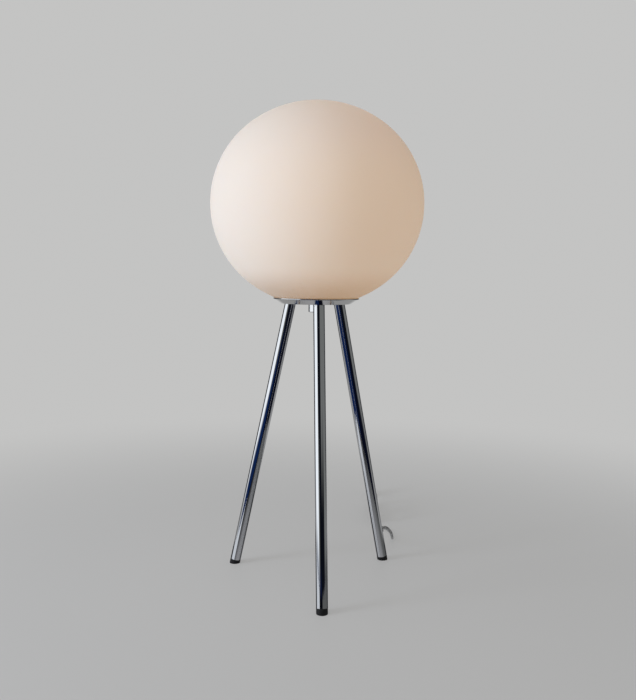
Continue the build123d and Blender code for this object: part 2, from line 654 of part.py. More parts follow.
# Each wire: its route from the outer wiring to the block or the lampholder.
WIRES = {
    "supply_live": [
        block_point(19.3, 35.5, sheath_top), block_point(19.3, 35.5, 419), block_point(19.0, 21, 419),
        block_point(inner_pole, 15, WIRE_Z), block_point(inner_pole, BLOCK_FACE - 3, WIRE_Z)],
    "supply_neutral": [
        block_point(21.7, 35.5, sheath_top), block_point(21.7, 35.5, 417), block_point(33, 22, 417),
        block_point(outer_pole, 15, WIRE_Z), block_point(outer_pole, BLOCK_FACE - 3, WIRE_Z)],
    "dimmer_feed": [
        block_point(inner_pole, 3 - BLOCK_FACE, WIRE_Z), block_point(inner_pole, -20, WIRE_Z - 2.6),
        block_point(3, -20, WIRE_Z - 2.6), block_point(3, -DIMMER_R + 1.0, WIRE_Z)],
    "dimmer_return": [
        block_point(BLOCK_R, 3 - BLOCK_FACE, WIRE_Z), block_point(BLOCK_R, -11, WIRE_Z),
        block_point(24, -23, WIRE_Z - 3.6), block_point(-3, -23, WIRE_Z - 3.6),
        block_point(-3, -DIMMER_R + 1.0, WIRE_Z)],
    "holder_live": [
        block_point(BLOCK_R, BLOCK_FACE - 3, WIRE_Z), block_point(BLOCK_R, 14.5, WIRE_Z),
        block_point(25, 16, 420), block_point(1.2, 1.0, 420), block_point(1.2, 0.9, CAP_TOP - 4.0)],
    "holder_neutral": [
        block_point(outer_pole, 3 - BLOCK_FACE, WIRE_Z), block_point(outer_pole, -14.5, WIRE_Z),
        block_point(31, -14, 423), block_point(-1.0, -1.1, 423), block_point(-1.0, -1.0, CAP_TOP - 4.0)],
}
for wire_name, route in WIRES.items():
    radii = [min(radius, WIRE_BEND) for radius in bend_radii(route)]
    with BuildPart() as wire:
        with BuildLine() as wire_line:
            FilletPolyline(*route, radius=radii)
        with BuildSketch(Plane(origin=wire_line.line @ 0, z_dir=wire_line.line % 0)):
            Circle(CORE_R)
        sweep()
    wire.part.label = f"wire_{wire_name}"
    export_step(wire.part, f"parts/wire_{wire_name}.step")

# ---- Cable up the right leg -------------------------------------------------------------
RIGHT = LEG_ANGLES["right"]
exit_plane = exit_hole_plane(RIGHT)
exit_way = exit_plane.x_dir
exit_face = exit_plane.origin + exit_way * GROMMET_REACH
cable_lean = -3.45       # the cable lies against the inner side of the bore
BEND_Z = 386.0           # where it turns upright, below the nipple
leg_cable_route = [
    exit_face,
    exit_plane.origin + exit_way * cable_lean,
    circle_point(LEG_TOP_R, RIGHT, BEND_Z),
    circle_point(LEG_TOP_R, RIGHT, sheath_top),
]
with BuildPart() as cable_in_leg:
    with BuildLine() as leg_cable_line:
        FilletPolyline(*leg_cable_route, radius=[11.0, 30.0])
    with BuildSketch(Plane(origin=leg_cable_line.line @ 0, z_dir=leg_cable_line.line % 0)):
        Circle(CORD_R)
    sweep()
cable_in_leg.part.label = "cable_in_leg"
export_step(cable_in_leg.part, "parts/cable_in_leg.step")

# Rubber grommet in the wall of the tube: a flange outside, a neck and a lip inside.
FLANGE_R = 5.2
FLANGE_ROUND = 0.6
LIP = 0.6                # how far the neck stands in the bore
outwards_plane = Plane(origin=exit_plane.origin, x_dir=exit_plane.z_dir, z_dir=exit_way)
with BuildPart() as cable_grommet:
    with BuildSketch(outwards_plane.offset(LEG_R - 2.0)):
        Circle(FLANGE_R)
    extrude(amount=GROMMET_REACH - LEG_R + 2.0)
    fillet(cable_grommet.faces().sort_by(Axis((0, 0, 0), exit_way))[-1].edges(), FLANGE_ROUND)
    with BuildSketch(exit_plane.offset(-12)):
        Circle(LEG_R)
    extrude(amount=24, mode=Mode.SUBTRACT)
    with BuildSketch(outwards_plane.offset(LEG_BORE_R - LIP)):
        Circle(EXIT_HOLE_R)
    extrude(amount=LEG_WALL + 2 * LIP)
    with BuildSketch(outwards_plane):
        Circle(CORD_R + CABLE_PLAY)
    extrude(amount=GROMMET_REACH + 1, mode=Mode.SUBTRACT)
cable_grommet.part.label = "cable_grommet"
export_step(cable_grommet.part, "parts/cable_grommet.step")

# ---- Free cord, its tied hank, and the plug ---------------------------------------------
HANK_X = 108.0
HANK_Y = 316.0           # middle of the hank
HANK_HALF_RUN = 37.5
TURNS = 3                # turns of the spiral in each of the two layers
TURN_STEP = 6.0
LAYER_STEP = 5.5
INNER_FOLD_R = 11.0
WAIST_DRAW = 8.0         # how far the tie draws each run towards the middle
HANK_Z = CORD_R + INNER_FOLD_R + TURN_STEP * (TURNS - 1) + TURN_STEP / 4
LEAD = CORD_D            # straight end of the wound tube


def hank_point(along, height, across):
    """Point of the hank: along its length, up from its middle, and across its layers."""
    return Vector(HANK_X + across, HANK_Y + along, HANK_Z + height)


def s_curve(start, end):
    """Two equal arcs between points, both ends running along the hank."""
    step = end - start
    ahead = Vector(0, 1 if step.Y > 0 else -1, 0)
    middle = (start + end) * 0.5
    first = TangentArc(start, middle, tangent=ahead)
    second = TangentArc(middle, end, tangent=first % 1)
    return [first, second]


def hank_run(start, end, draw):
    """One run of a loop, drawn in by the tie at its middle."""
    waist = (start + end) * 0.5 + Vector(0, 0, draw)
    return s_curve(start, waist) + s_curve(waist, end)


def hank_fold(start, end):
    """Half turn at the end of the hank, from one run to the next."""
    middle = (start + end) * 0.5
    outwards = Vector(0, 1 if start.Y > HANK_Y else -1, 0)
    crown = middle + outwards * ((end - start).length / 2)
    return [ThreePointArc(start, crown, end)]


# Run heights from the middle: the spiral goes in through one layer and out through the other.
top_heights = [INNER_FOLD_R - TURN_STEP / 4 + TURN_STEP * turn for turn in range(TURNS)]
low_heights = [-height - TURN_STEP / 2 for height in top_heights]
near_layer = -LAYER_STEP / 2
far_layer = LAYER_STEP / 2
run_list = []            # (height, layer at its start, layer at its end), in the cord's order
for turn in reversed(range(TURNS)):
    run_list.append((low_heights[turn], near_layer, near_layer))
    run_list.append((top_heights[turn], near_layer, near_layer if turn else far_layer))
for turn in range(TURNS):
    run_list.append((low_heights[turn], far_layer, far_layer))
    if turn < TURNS - 1:
        run_list.append((top_heights[turn + 1], far_layer, far_layer))

hank_start = hank_point(-HANK_HALF_RUN - LEAD, low_heights[-1], near_layer)
hank_end = hank_point(HANK_HALF_RUN + LEAD, low_heights[-1], far_layer)
with BuildPart() as cord_hank:
    with BuildLine() as hank_line:
        Line(hank_start, hank_start + Vector(0, LEAD, 0))
        direction = 1
        previous = None
        for height, layer_in, layer_out in run_list:
            start = hank_point(-direction * HANK_HALF_RUN, height, layer_in)
            end = hank_point(direction * HANK_HALF_RUN, height, layer_out)
            if previous is not None:
                hank_fold(previous, start)
            hank_run(start, end, WAIST_DRAW if height < 0 else -WAIST_DRAW)
            previous = end
            direction = -direction
        Line(previous, hank_end)
    with BuildSketch(Plane(origin=hank_start, z_dir=(0, 1, 0))):
        Circle(CORD_R)
    sweep()
cord_hank.part.label = "cord_hank"
export_step(cord_hank.part, "parts/cord_hank.step")

hank_length = hank_line.wire().length

# Strap round the waist of the hank.
STRAP_W = 7.0
STRAP_T = 1.0
STRAP_PLAY = 0.15        # between the strap and the hank
waist_top = top_heights[-1] - WAIST_DRAW + CORD_R + STRAP_PLAY
waist_low = low_heights[-1] + WAIST_DRAW - CORD_R - STRAP_PLAY
strap_plane = Plane(
    origin=hank_point(0, (waist_top + waist_low) / 2, 0), x_dir=(1, 0, 0), z_dir=(0, 1, 0))
strap_w = LAYER_STEP + CORD_D + 2 * STRAP_PLAY
strap_h = waist_top - waist_low
with BuildPart() as cord_strap:
    with BuildSketch(strap_plane):
        RectangleRounded(strap_w + 2 * STRAP_T, strap_h + 2 * STRAP_T, CORD_R + STRAP_T)
        RectangleRounded(strap_w, strap_h, CORD_R, mode=Mode.SUBTRACT)
    extrude(amount=STRAP_W / 2, both=True)
    # Overlapped end of the strap, on top.
    with BuildSketch(strap_plane):
        with Locations((0, strap_h / 2 + 1.5 * STRAP_T)):
            Rectangle(strap_w - 3, STRAP_T)
    extrude(amount=STRAP_W / 2, both=True)
cord_strap.part.label = "cord_strap"
export_step(cord_strap.part, "parts/cord_strap.step")

# Route of the free cord: over in a low arc, down to the surface behind, and into the hank.
cord_route = [
    exit_face,
    exit_face + exit_way * 14.0,
    Vector(124.5, 118.0, 31.0),
    Vector(129.0, 143.0, 14.0),
    Vector(132.5, 170.0, CORD_R),
    Vector(133.0, 200.0, CORD_R),
    Vector(127.0, 226.0, CORD_R),
    Vector(108.0, 237.0, CORD_R),
    Vector(HANK_X + near_layer, 257.0, CORD_R),
    hank_start,
]
PLUG_X = HANK_X + 4.3
PLUG_Y = HANK_Y + 96.0   # rear end of the plug's neck
PLUG_Z = 17.7
tail_route = [
    hank_end,
    hank_end + Vector(0, 14.0, 0),
    Vector(PLUG_X, PLUG_Y - 14.0, PLUG_Z),
    Vector(PLUG_X, PLUG_Y, PLUG_Z),
]


def cord_tube(route):
    """Round cord along straight runs joined by tangent arcs, and its length."""
    with BuildPart() as tube:
        with BuildLine() as line:
            FilletPolyline(*route, radius=bend_radii(route))
        with BuildSketch(Plane(origin=line.line @ 0, z_dir=line.line % 0)):
            Circle(CORD_R)
        sweep()
    return tube.part, line.wire().length


cord, cord_length = cord_tube(cord_route)
cord.label = "cord"
export_step(cord, "parts/cord.step")
cord_tail, tail_length = cord_tube(tail_route)
cord_tail.label = "cord_tail"
export_step(cord_tail, "parts/cord_tail.step")
print(f"free cord in all {cord_length + hank_length + tail_length:.0f} mm")

# ---- Flat two-pin plug, standing on its edge --------------------------------------------
PLUG_W = 35.3
PLUG_T = 13.7
PLUG_L = 34.0
NECK_L = 18.0
PIN_R = 2.0
PIN_L = 19.0
PIN_PITCH = 18.6
FLARE_L = 12.0           # length over which the body widens from its neck
CORNER_R = 4.0
BODY_ROUND = 0.8
PIN_ROUND = 1.4
plug_rear = Plane(origin=(PLUG_X, PLUG_Y, PLUG_Z), x_dir=(0, 0, 1), z_dir=(0, 1, 0))
with BuildPart() as plug_body:
    with BuildSketch(plug_rear):
        Circle(CORD_R + 1.2)
    with BuildSketch(plug_rear.offset(NECK_L)):
        Circle(5.2)
    loft()
    with BuildSketch(plug_rear.offset(NECK_L)):
        RectangleRounded(16, 11, CORNER_R)
    with BuildSketch(plug_rear.offset(NECK_L + FLARE_L)):
        RectangleRounded(PLUG_W, PLUG_T, CORNER_R)
    loft()
    with BuildSketch(plug_rear.offset(NECK_L + FLARE_L)):
        RectangleRounded(PLUG_W, PLUG_T, CORNER_R)
    extrude(amount=PLUG_L - FLARE_L)
    fillet(plug_body.faces().sort_by(Axis.Y)[-1].edges(), BODY_ROUND)
plug_body.part.label = "plug_body"
export_step(plug_body.part, "parts/plug_body.step")

with BuildPart() as plug_pins:
    with BuildSketch(plug_rear.offset(NECK_L + PLUG_L)):
        with GridLocations(PIN_PITCH, 1, 2, 1):
            Circle(PIN_R)
    extrude(amount=PIN_L)
    fillet(plug_pins.edges().group_by(Axis.Y)[-1], PIN_ROUND)
plug_pins.part.label = "plug_pins"
export_step(plug_pins.part, "parts/plug_pins.step")
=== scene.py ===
import json
from math import acos, asin, atan2, cos, degrees, pi, radians, sin, tan

import bmesh
import bpy
from bpy.props import FloatProperty, FloatVectorProperty, PointerProperty
from mathutils import Matrix, Vector


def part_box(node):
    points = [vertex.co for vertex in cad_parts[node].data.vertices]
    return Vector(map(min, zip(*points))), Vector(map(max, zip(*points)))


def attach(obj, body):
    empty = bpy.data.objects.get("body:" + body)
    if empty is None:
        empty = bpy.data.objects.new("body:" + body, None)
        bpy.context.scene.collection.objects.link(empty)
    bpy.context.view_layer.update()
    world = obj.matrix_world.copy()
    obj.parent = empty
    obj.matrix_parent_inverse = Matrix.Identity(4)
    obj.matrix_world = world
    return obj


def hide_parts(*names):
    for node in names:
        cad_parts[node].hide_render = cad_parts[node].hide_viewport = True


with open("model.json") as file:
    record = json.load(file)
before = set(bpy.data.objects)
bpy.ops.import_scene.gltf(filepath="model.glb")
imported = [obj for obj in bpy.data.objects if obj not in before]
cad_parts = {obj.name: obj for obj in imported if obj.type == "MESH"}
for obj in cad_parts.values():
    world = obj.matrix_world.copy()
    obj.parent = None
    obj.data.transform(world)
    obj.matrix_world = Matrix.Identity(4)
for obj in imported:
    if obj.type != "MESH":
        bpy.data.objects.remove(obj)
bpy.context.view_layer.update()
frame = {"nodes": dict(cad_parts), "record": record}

bl_info = {
    "name": "Globe Lamp Builder",
    "version": (1, 0, 0),
    "blender": (4, 5, 0),
    "location": "3D View > Sidebar > Globe Lamp",
    "description": "Models and finishes a glass globe table lamp around its fixed frame",
    "category": "Add Mesh",
}

TINY = 0.00001

# Heights and places that the frame fixes, in metres.
DISH_FLOOR = 0.4015
SHEET = 0.0012
LEG_ANGLES = {"front": -84.5, "right": 35.5, "left": 155.5}
LEG_FOOT_RADIUS = 0.1328
LEG_TOP_RADIUS = 0.041
TUBE_END = 0.007
EXIT_FACE = Vector((0.104485, 0.079336, 0.046117))
EXIT_WAY = Vector((0.4800, 0.8485, 0.2229))
GROMMET_REACH = 0.0095
HANK_MIDDLE = Vector((0.108, 0.316, 0.027))
PLUG_REAR = Vector((0.1123, 0.412, 0.0177))


def polar(radius, angle, height):
    """Point at a radius and an angle in degrees round the lamp's axis."""
    return Vector((radius * cos(radians(angle)), radius * sin(radians(angle)), height))


# ---- Shader maths -----------------------------------------------------------------------

# Sockets of a Mix node in its colour mode, whose names it shares with the other modes.
MIX_FACTOR = 0
MIX_FIRST = 6
MIX_SECOND = 7
MIX_RESULT = 2


class Value:
    """A shader socket, on which an expression adds Math nodes."""

    def __init__(self, nodes, socket):
        self.nodes = nodes
        self.socket = socket

    def maths(self, operation, first, second=0.0):
        return self.nodes.add("ShaderNodeMath", {"operation": operation}, {0: first, 1: second})

    def sine(self):
        return self.maths("SINE", self)

    def __add__(self, other):
        return self.maths("ADD", self, other)

    def __sub__(self, other):
        return self.maths("SUBTRACT", self, other)

    def __rsub__(self, other):
        return self.maths("SUBTRACT", other, self)

    def __mul__(self, other):
        return self.maths("MULTIPLY", self, other)

    def __truediv__(self, other):
        return self.maths("DIVIDE", self, other)

    def __pow__(self, other):
        return self.maths("POWER", self, other)

    __radd__ = __add__
    __rmul__ = __mul__


class Nodes:
    """The node tree of one finish, light or world."""

    def __init__(self, owner):
        owner.use_nodes = True
        self.tree = owner.node_tree

    def add(self, kind, settings=None, sockets=None, output=0):
        """Any node: its settings are set first, then its sockets, by value or by link."""
        node = self.tree.nodes.new(kind)
        for setting, value in (settings or {}).items():
            setattr(node, setting, value)
        for name, value in (sockets or {}).items():
            self.feed(node.inputs[name], value)
        return Value(self, node.outputs[output])

    def feed(self, socket, value):
        """Link a Value to a socket, or set the socket to a plain value."""
        if isinstance(value, Value):
            self.tree.links.new(value.socket, socket)
        elif hasattr(value, "__len__") and len(value) == 3 and len(socket.default_value) == 4:
            socket.default_value = (*value, 1.0)
        else:
            socket.default_value = value

    def place(self, output="Object"):
        """Coordinates of the surface."""
        return self.add("ShaderNodeTexCoord", output=output)

    def ray(self, kind):
        """1 for rays of a kind, such as Camera or Glossy, and 0 for the rest."""
        return self.add("ShaderNodeLightPath", output=f"Is {kind} Ray")

    def noise(self, scale, detail=3.0, roughness=0.5, place=None):
        """Cloudy value about 0.5."""
        return self.add("ShaderNodeTexNoise", None, {
            "Vector": place or self.place(), "Scale": scale, "Detail": detail,
            "Roughness": roughness})

    def smooth(self, value, low, high):
        """0 below low, 1 above high and a smooth rise between them."""
        return self.add(
            "ShaderNodeMapRange", {"interpolation_type": "SMOOTHSTEP"},
            {"Value": value, "From Min": low, "From Max": high})

    def blend(self, factor, first, second):
        """Colour between two, by a factor."""
        return self.add(
            "ShaderNodeMix", {"data_type": "RGBA"},
            {MIX_FACTOR: factor, MIX_FIRST: first, MIX_SECOND: second}, MIX_RESULT)

    def mix_shaders(self, factor, first, second):
        """Surface between two shaders, by a factor."""
        return self.add("ShaderNodeMixShader", None, {0: factor, 1: first, 2: second})

    def bump(self, height, distance):
        """Normal of a relief whose height runs from 0 to 1 over a distance in metres."""
        return self.add("ShaderNodeBump", None, {"Height": height, "Distance": distance})

    def axes(self, place=None, wanted="XYZ"):
        """The wanted coordinates of a vector, of the place on the surface if none is given."""
        split = self.add("ShaderNodeSeparateXYZ", None, {"Vector": place or self.place()})
        return [Value(self, split.socket.node.outputs[axis]) for axis in wanted]


def new_finish(name, **sockets):
    """Material with constants on its shader, given with its nodes and a way to feed the shader."""
    material = bpy.data.materials.new(name)
    nodes = Nodes(material)
    shader = nodes.tree.nodes["Principled BSDF"]

    def paint(**more):
        for socket, value in more.items():
            nodes.feed(shader.inputs[socket.replace("_", " ")], value)

    paint(**sockets)
    return material, nodes, paint


def shade_of(tone, share):
    """A tone darkened to a share of itself."""
    return [channel * share for channel in tone]


def polished_metal(name, tone, roughness=0.04, smear=0.05):
    """Bright plate with faint wiping marks and a very slight ripple."""
    material, nodes, paint = new_finish(name, Metallic=1.0)
    wiped = nodes.noise(38.0, 4.0)
    fine = nodes.noise(420.0, 2.0)
    paint(
        Base_Color=nodes.blend(wiped, shade_of(tone, 0.96), tone),
        Roughness=roughness + smear * nodes.smooth(wiped, 0.5, 0.8) + fine * (smear / 5),
        Normal=nodes.bump(fine, 0.000001))
    return material


LINES_ALONG = 60
LINES_ACROSS = 5200


def turned_metal(name, tone, roughness=0.28, stain=0.84):
    """Turned, drawn or rolled metal: fine lines round the upright axis and faint stains."""
    material, nodes, paint = new_finish(name, Metallic=1.0)
    x, y, z = nodes.axes()
    lines = nodes.noise(1.0, 2.0, place=nodes.add("ShaderNodeCombineXYZ", None, {
        "X": x * LINES_ALONG, "Y": y * LINES_ALONG, "Z": z * LINES_ACROSS}))
    patches = nodes.noise(90.0, 3.0)
    paint(
        Base_Color=nodes.blend(patches, shade_of(tone, stain), tone),
        Roughness=roughness + lines * 0.12 + patches * 0.06,
        Normal=nodes.bump(lines, 0.00002))
    return material


def moulded(name, tone, roughness=0.45, grain=900.0, depth=0.00003, worn=0.85):
    """Moulded plastic, rubber or ceramic: a fine grain, and patches that are a little worn."""
    material, nodes, paint = new_finish(name)
    cell = nodes.noise(grain, 3.0, 0.6)
    patches = nodes.noise(60.0, 4.0)
    paint(
        Base_Color=nodes.blend(nodes.smooth(patches, 0.3, 0.7), shade_of(tone, worn), tone),
        Roughness=roughness + (patches - 0.5) * 0.16,
        Normal=nodes.bump(cell, depth))
    return material


# Threads of the tape, in radians a metre.
WARP = 9000
WEFT = 7000


def woven_tape(name, tone):
    """Woven tape: crossed ribs in a fine weave, with painted shade in the weave's hollows and
    painted highlight on its raised threads.
    """
    material, nodes, paint = new_finish(name)
    x, y, z = nodes.axes()
    weave = (y * WARP).sine() * ((x + z) * WEFT).sine() * 0.5 + 0.5
    fibre = nodes.noise(700.0, 3.0)
    # Painted shade and highlight: the colour follows the weave's relief, darker in its hollows and
    # lighter on its raised threads.
    raised_painted_highlight = [channel * 1.6 + 0.01 for channel in tone]
    paint(
        Base_Color=nodes.blend(weave * fibre, shade_of(tone, 0.6), raised_painted_highlight),
        Roughness=0.82 + fibre * 0.1,
        Normal=nodes.bump(weave, 0.0001))
    return material


# Heights between which painted shade darkens the globe towards its foot above the dish, and how
# much of each channel is left there.
FOOT_PAINTED_SHADE_TOP = 0.455
FOOT_PAINTED_SHADE_LOW = 0.405
FOOT_PAINTED_SHADE = (0.62, 0.54, 0.50)
# Painted light in the glass's emission: a faint glow at its left, a warmer and stronger one at its
# right, and more in front of the bulb. It stands in for the lit bulb and a warm light from the
# right.
LEFT_PAINTED_GLOW = (0.15, 0.115, 0.075)
RIGHT_PAINTED_GLOW = (0.22, 0.115, 0.04)
PAINTED_BULB_GLOW = (0.34, 0.215, 0.09)
PAINTED_BULB_GLOW_HEIGHT = 0.495
PAINTED_BULB_GLOW_SPREAD = 0.022
PAINTED_BULB_GLOW_SHARE = 0.45


def opal_glass(name, tone):
    """Blown opal glass: matt and a little cloudy, with painted shade darkening its foot and a
    painted glow in its emission, warmer and stronger at its right and in front of the bulb.
    """
    material, nodes, paint = new_finish(
        name, IOR=1.45, Specular_IOR_Level=0.22, Emission_Strength=1.0,
        Subsurface_Weight=0.2, Subsurface_Radius=(0.02, 0.014, 0.010), Subsurface_Scale=0.5)
    x, z = nodes.axes(wanted="XZ")
    cloud = nodes.noise(7.0, 5.0, 0.55)
    seeds = nodes.noise(160.0, 2.0)
    # Painted shade: the base colour darkens towards the globe's foot, where the dish shades it.
    foot = nodes.smooth(z, FOOT_PAINTED_SHADE_TOP, FOOT_PAINTED_SHADE_LOW)
    # Painted light: the emission's glow changes from left to right and is strongest in front of
    # the bulb, on the right.
    side = nodes.smooth(x, -0.13, 0.10)
    level = z - PAINTED_BULB_GLOW_HEIGHT
    bulb = nodes.smooth(level * level, PAINTED_BULB_GLOW_SPREAD, 0.0) * nodes.smooth(x, -0.16, 0.04)
    # The body colour carries the painted shade at the foot.
    body = nodes.blend(foot, tone, [left * channel for left, channel in zip(FOOT_PAINTED_SHADE, tone)])
    painted_glow = nodes.blend(side, LEFT_PAINTED_GLOW, RIGHT_PAINTED_GLOW)
    paint(
        Base_Color=nodes.blend(nodes.smooth(cloud, 0.35, 0.75) * 0.4, body, shade_of(tone, 0.95)),
        Emission_Color=nodes.blend(bulb * PAINTED_BULB_GLOW_SHARE, painted_glow, PAINTED_BULB_GLOW),
        Roughness=0.6 + (cloud - 0.5) * 0.1 + seeds * 0.04,
        Normal=nodes.bump(cloud * 0.8 + seeds * 0.03, 0.0006))
    return material


def frosted_glass(name, tone):
    """Thin bulb glass, etched inside, with a soft bloom."""
    material, nodes, paint = new_finish(name, IOR=1.5, Transmission_Weight=0.25)
    bloom = nodes.noise(55.0, 4.0)
    paint(
        Base_Color=nodes.blend(bloom, shade_of(tone, 0.94), tone),
        Roughness=0.32 + bloom * 0.12,
        Normal=nodes.bump(bloom, 0.00006))
    return material


# How fast the two wires wind round each other, in turns a metre, under the sheath.
WIRE_LAY = 110


def clear_sheath(name, tone):
    """Smoky clear sheath over two laid wires, which show as soft slanted bands."""
    material, nodes, paint = new_finish(name, IOR=1.5, Transmission_Weight=0.45)
    along, around = nodes.axes(nodes.place("UV"), "XY")
    cloud = nodes.noise(90.0, 3.0)
    lay = ((around * 2 + along * WIRE_LAY) * (2 * pi)).sine()
    paint(
        Base_Color=nodes.blend(nodes.smooth(lay, -0.8, 1.0), shade_of(tone, 0.72), tone),
        Roughness=0.16 + cloud * 0.1,
        Coat_Weight=0.4 + cloud * 0.2,
        Normal=nodes.bump(cloud, 0.00005))
    return material


# The maker of each finish of the record, and how it differs from the maker's usual one.
FINISHES = {
    "opal_glass": (opal_glass, {}),
    "chrome_dish": (polished_metal, {"roughness": 0.06}),
    "chrome_tube": (polished_metal, {"roughness": 0.025, "smear": 0.02}),
    "chrome_knob": (polished_metal, {"roughness": 0.05}),
    "plated_steel": (turned_metal, {"roughness": 0.22}),
    "spring_steel": (turned_metal, {"roughness": 0.3, "stain": 0.6}),
    "turned_brass": (turned_metal, {"roughness": 0.24}),
    "contact_brass": (turned_metal, {"roughness": 0.2, "stain": 0.7}),
    "black_rubber": (moulded, {"roughness": 0.62, "grain": 1400.0, "worn": 1.8}),
    "holder_plastic": (moulded, {"roughness": 0.3}),
    "holder_ceramic": (moulded, {"roughness": 0.7, "grain": 500.0, "depth": 0.0001}),
    "bulb_aluminium": (turned_metal, {"roughness": 0.3}),
    "bulb_insulator": (moulded, {"roughness": 0.25}),
    "bulb_frosted_glass": (frosted_glass, {}),
    "dimmer_plastic": (moulded, {"roughness": 0.5}),
    "terminal_plastic": (moulded, {"roughness": 0.4}),
    "wire_brown": (moulded, {"roughness": 0.4, "depth": 0.00001}),
    "wire_blue": (moulded, {"roughness": 0.4, "depth": 0.00001}),
    "clear_cord": (clear_sheath, {}),
    "black_strap": (woven_tape, {}),
    "plug_plastic": (moulded, {"roughness": 0.3}),
    "plug_brass": (turned_metal, {"roughness": 0.2}),
}


def finish_for(slot):
    """Material of a slot, made on its first use in the colour of the panel."""
    name = f"{slot}_finish"
    material = bpy.data.materials.get(name)
    if material is None:
        make, settings = FINISHES[slot]
        tone = getattr(bpy.context.scene.globe_lamp_colours, slot)
        material = make(name, list(tone), **settings)
    return material


# ---- Mesh tools -------------------------------------------------------------------------

UPWARDS = Vector((0, 0, 1))
BACKWARDS = Vector((0, 1, 0))
BAR_SIDES = 48
CORNER_STEPS = 8
# Distances under which corners merge, in a drawn section and where a spun piece meets itself.
SECTION_WELD = 1e-6
SEAM_WELD = 2e-6


def arc(centre, radius, start, end, steps):
    """Section points on an arc, between two angles in degrees."""
    return [
        (centre[0] + radius * cos(radians(start + (end - start) * step / steps)),
         centre[1] + radius * sin(radians(start + (end - start) * step / steps)))
        for step in range(steps + 1)]


def deselect():
    bpy.ops.object.select_all(action="DESELECT")


def take(piece):
    """Make a piece the active one, and the only one that is selected."""
    deselect()
    bpy.context.view_layer.objects.active = piece
    piece.select_set(True)


def place_in_mesh():
    """Move the place, turn and scale of what is selected into its mesh."""
    bpy.ops.object.transform_apply(location=True, rotation=True, scale=True)


def select_where(piece, test):
    """In edit mode, select the edges and faces whose corners all pass a test of their place."""
    mesh = bmesh.from_edit_mesh(piece.data)
    for element in (*mesh.faces, *mesh.edges, *mesh.verts):
        element.select = False
    for vertex in mesh.verts:
        vertex.select = test(piece.matrix_world @ vertex.co)
    mesh.select_flush(True)
    bmesh.update_edit_mesh(piece.data)


def select_edges(piece, test):
    """In edit mode, select the edges whose two ends pass a test of their places."""
    mesh = bmesh.from_edit_mesh(piece.data)
    bpy.context.tool_settings.mesh_select_mode = (False, True, False)
    for element in (*mesh.faces, *mesh.edges, *mesh.verts):
        element.select = False
    for edge in mesh.edges:
        edge.select_set(test(*(piece.matrix_world @ vertex.co for vertex in edge.verts)))
    bmesh.update_edit_mesh(piece.data)


def edit():
    """Enter edit mode with the whole mesh selected."""
    bpy.ops.object.mode_set(mode="EDIT")
    bpy.ops.mesh.select_mode(type="VERT")
    bpy.ops.mesh.select_all(action="SELECT")


def leave_edit():
    bpy.ops.object.mode_set(mode="OBJECT")


def apply_modifier(piece, kind, **settings):
    """Add a modifier with its settings and apply it."""
    modifier = piece.modifiers.new(kind.title(), kind)
    for setting, value in settings.items():
        setattr(modifier, setting, value)
    bpy.ops.object.modifier_apply(modifier=modifier.name)


def soften(piece, width, segments=2, angle=40.0):
    """Small round on every sharp edge."""
    apply_modifier(
        piece, "BEVEL", width=width, segments=segments, limit_method="ANGLE",
        angle_limit=radians(angle))


def cut_away(piece, cutter):
    """Cut one closed piece out of another and drop the cutter."""
    take(piece)
    apply_modifier(piece, "BOOLEAN", operation="DIFFERENCE", object=cutter, solver="EXACT")
    bpy.data.objects.remove(cutter)


def set_place(piece, origin, way):
    """Stand an upright piece at a point, along a way."""
    piece.location = origin
    piece.rotation_euler = UPWARDS.rotation_difference(Vector(way)).to_euler()
    place_in_mesh()


def block(centre, size):
    """Square block of a size, about its centre."""
    deselect()
    bpy.ops.mesh.primitive_cube_add(size=1.0, location=centre)
    piece = bpy.context.object
    piece.scale = size
    place_in_mesh()
    return piece


def bar(radius, foot, way, tall):
    """Round bar from a point along a way, to cut with."""
    deselect()
    bpy.ops.mesh.primitive_cylinder_add(
        vertices=BAR_SIDES, radius=radius, depth=tall, location=(0, 0, tall / 2))
    cutter = bpy.context.object
    place_in_mesh()
    set_place(cutter, foot, way)
    return cutter


def turned(name, section, steps=96):
    """Closed piece turned round the lamp's axis: a corner is drawn through the section, then spun.

    The section's points are (radius, height). It runs from the axis to the axis, or closes on
    itself.
    """
    deselect()
    here = section[0]
    bpy.ops.mesh.primitive_plane_add(size=TINY, location=(here[0], 0, here[1]))
    piece = bpy.context.object
    piece.name = name
    edit()
    bpy.ops.mesh.merge(type="CENTER")
    for point in section[1:]:
        bpy.ops.mesh.extrude_region_move(
            TRANSFORM_OT_translate={"value": (point[0] - here[0], 0, point[1] - here[1])})
        here = point
    bpy.ops.mesh.select_all(action="SELECT")
    bpy.ops.mesh.remove_doubles(threshold=SECTION_WELD)
    bpy.ops.mesh.spin(steps=steps, angle=2 * pi, center=(0, 0, 0), axis=UPWARDS)
    bpy.ops.mesh.select_all(action="SELECT")
    bpy.ops.mesh.remove_doubles(threshold=SEAM_WELD)
    bpy.ops.mesh.normals_make_consistent(inside=False)
    leave_edit()
    place_in_mesh()
    return piece


def join(pieces):
    """Join pieces into the first."""
    deselect()
    for piece in pieces:
        piece.select_set(True)
    bpy.context.view_layer.objects.active = pieces[0]
    bpy.ops.object.join()
    return pieces[0]


def hand_over(piece, name, slot, body, *nodes, smooth=32.0):
    """Finish a modelled piece: its place, shading, material, body and the nodes it stands for."""
    take(piece)
    place_in_mesh()
    bpy.ops.object.shade_smooth_by_angle(angle=radians(smooth))
    piece.name = name
    piece.data.name = name
    piece.data.materials.clear()
    piece.data.materials.append(finish_for(slot))
    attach(piece, body)
    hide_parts(*nodes)
    deselect()


# ---- Settings ---------------------------------------------------------------------------


def length(name, description, default):
    """Length setting in metres."""
    return FloatProperty(
        name=name, description=description, default=default, min=0.0, precision=4, unit="LENGTH")


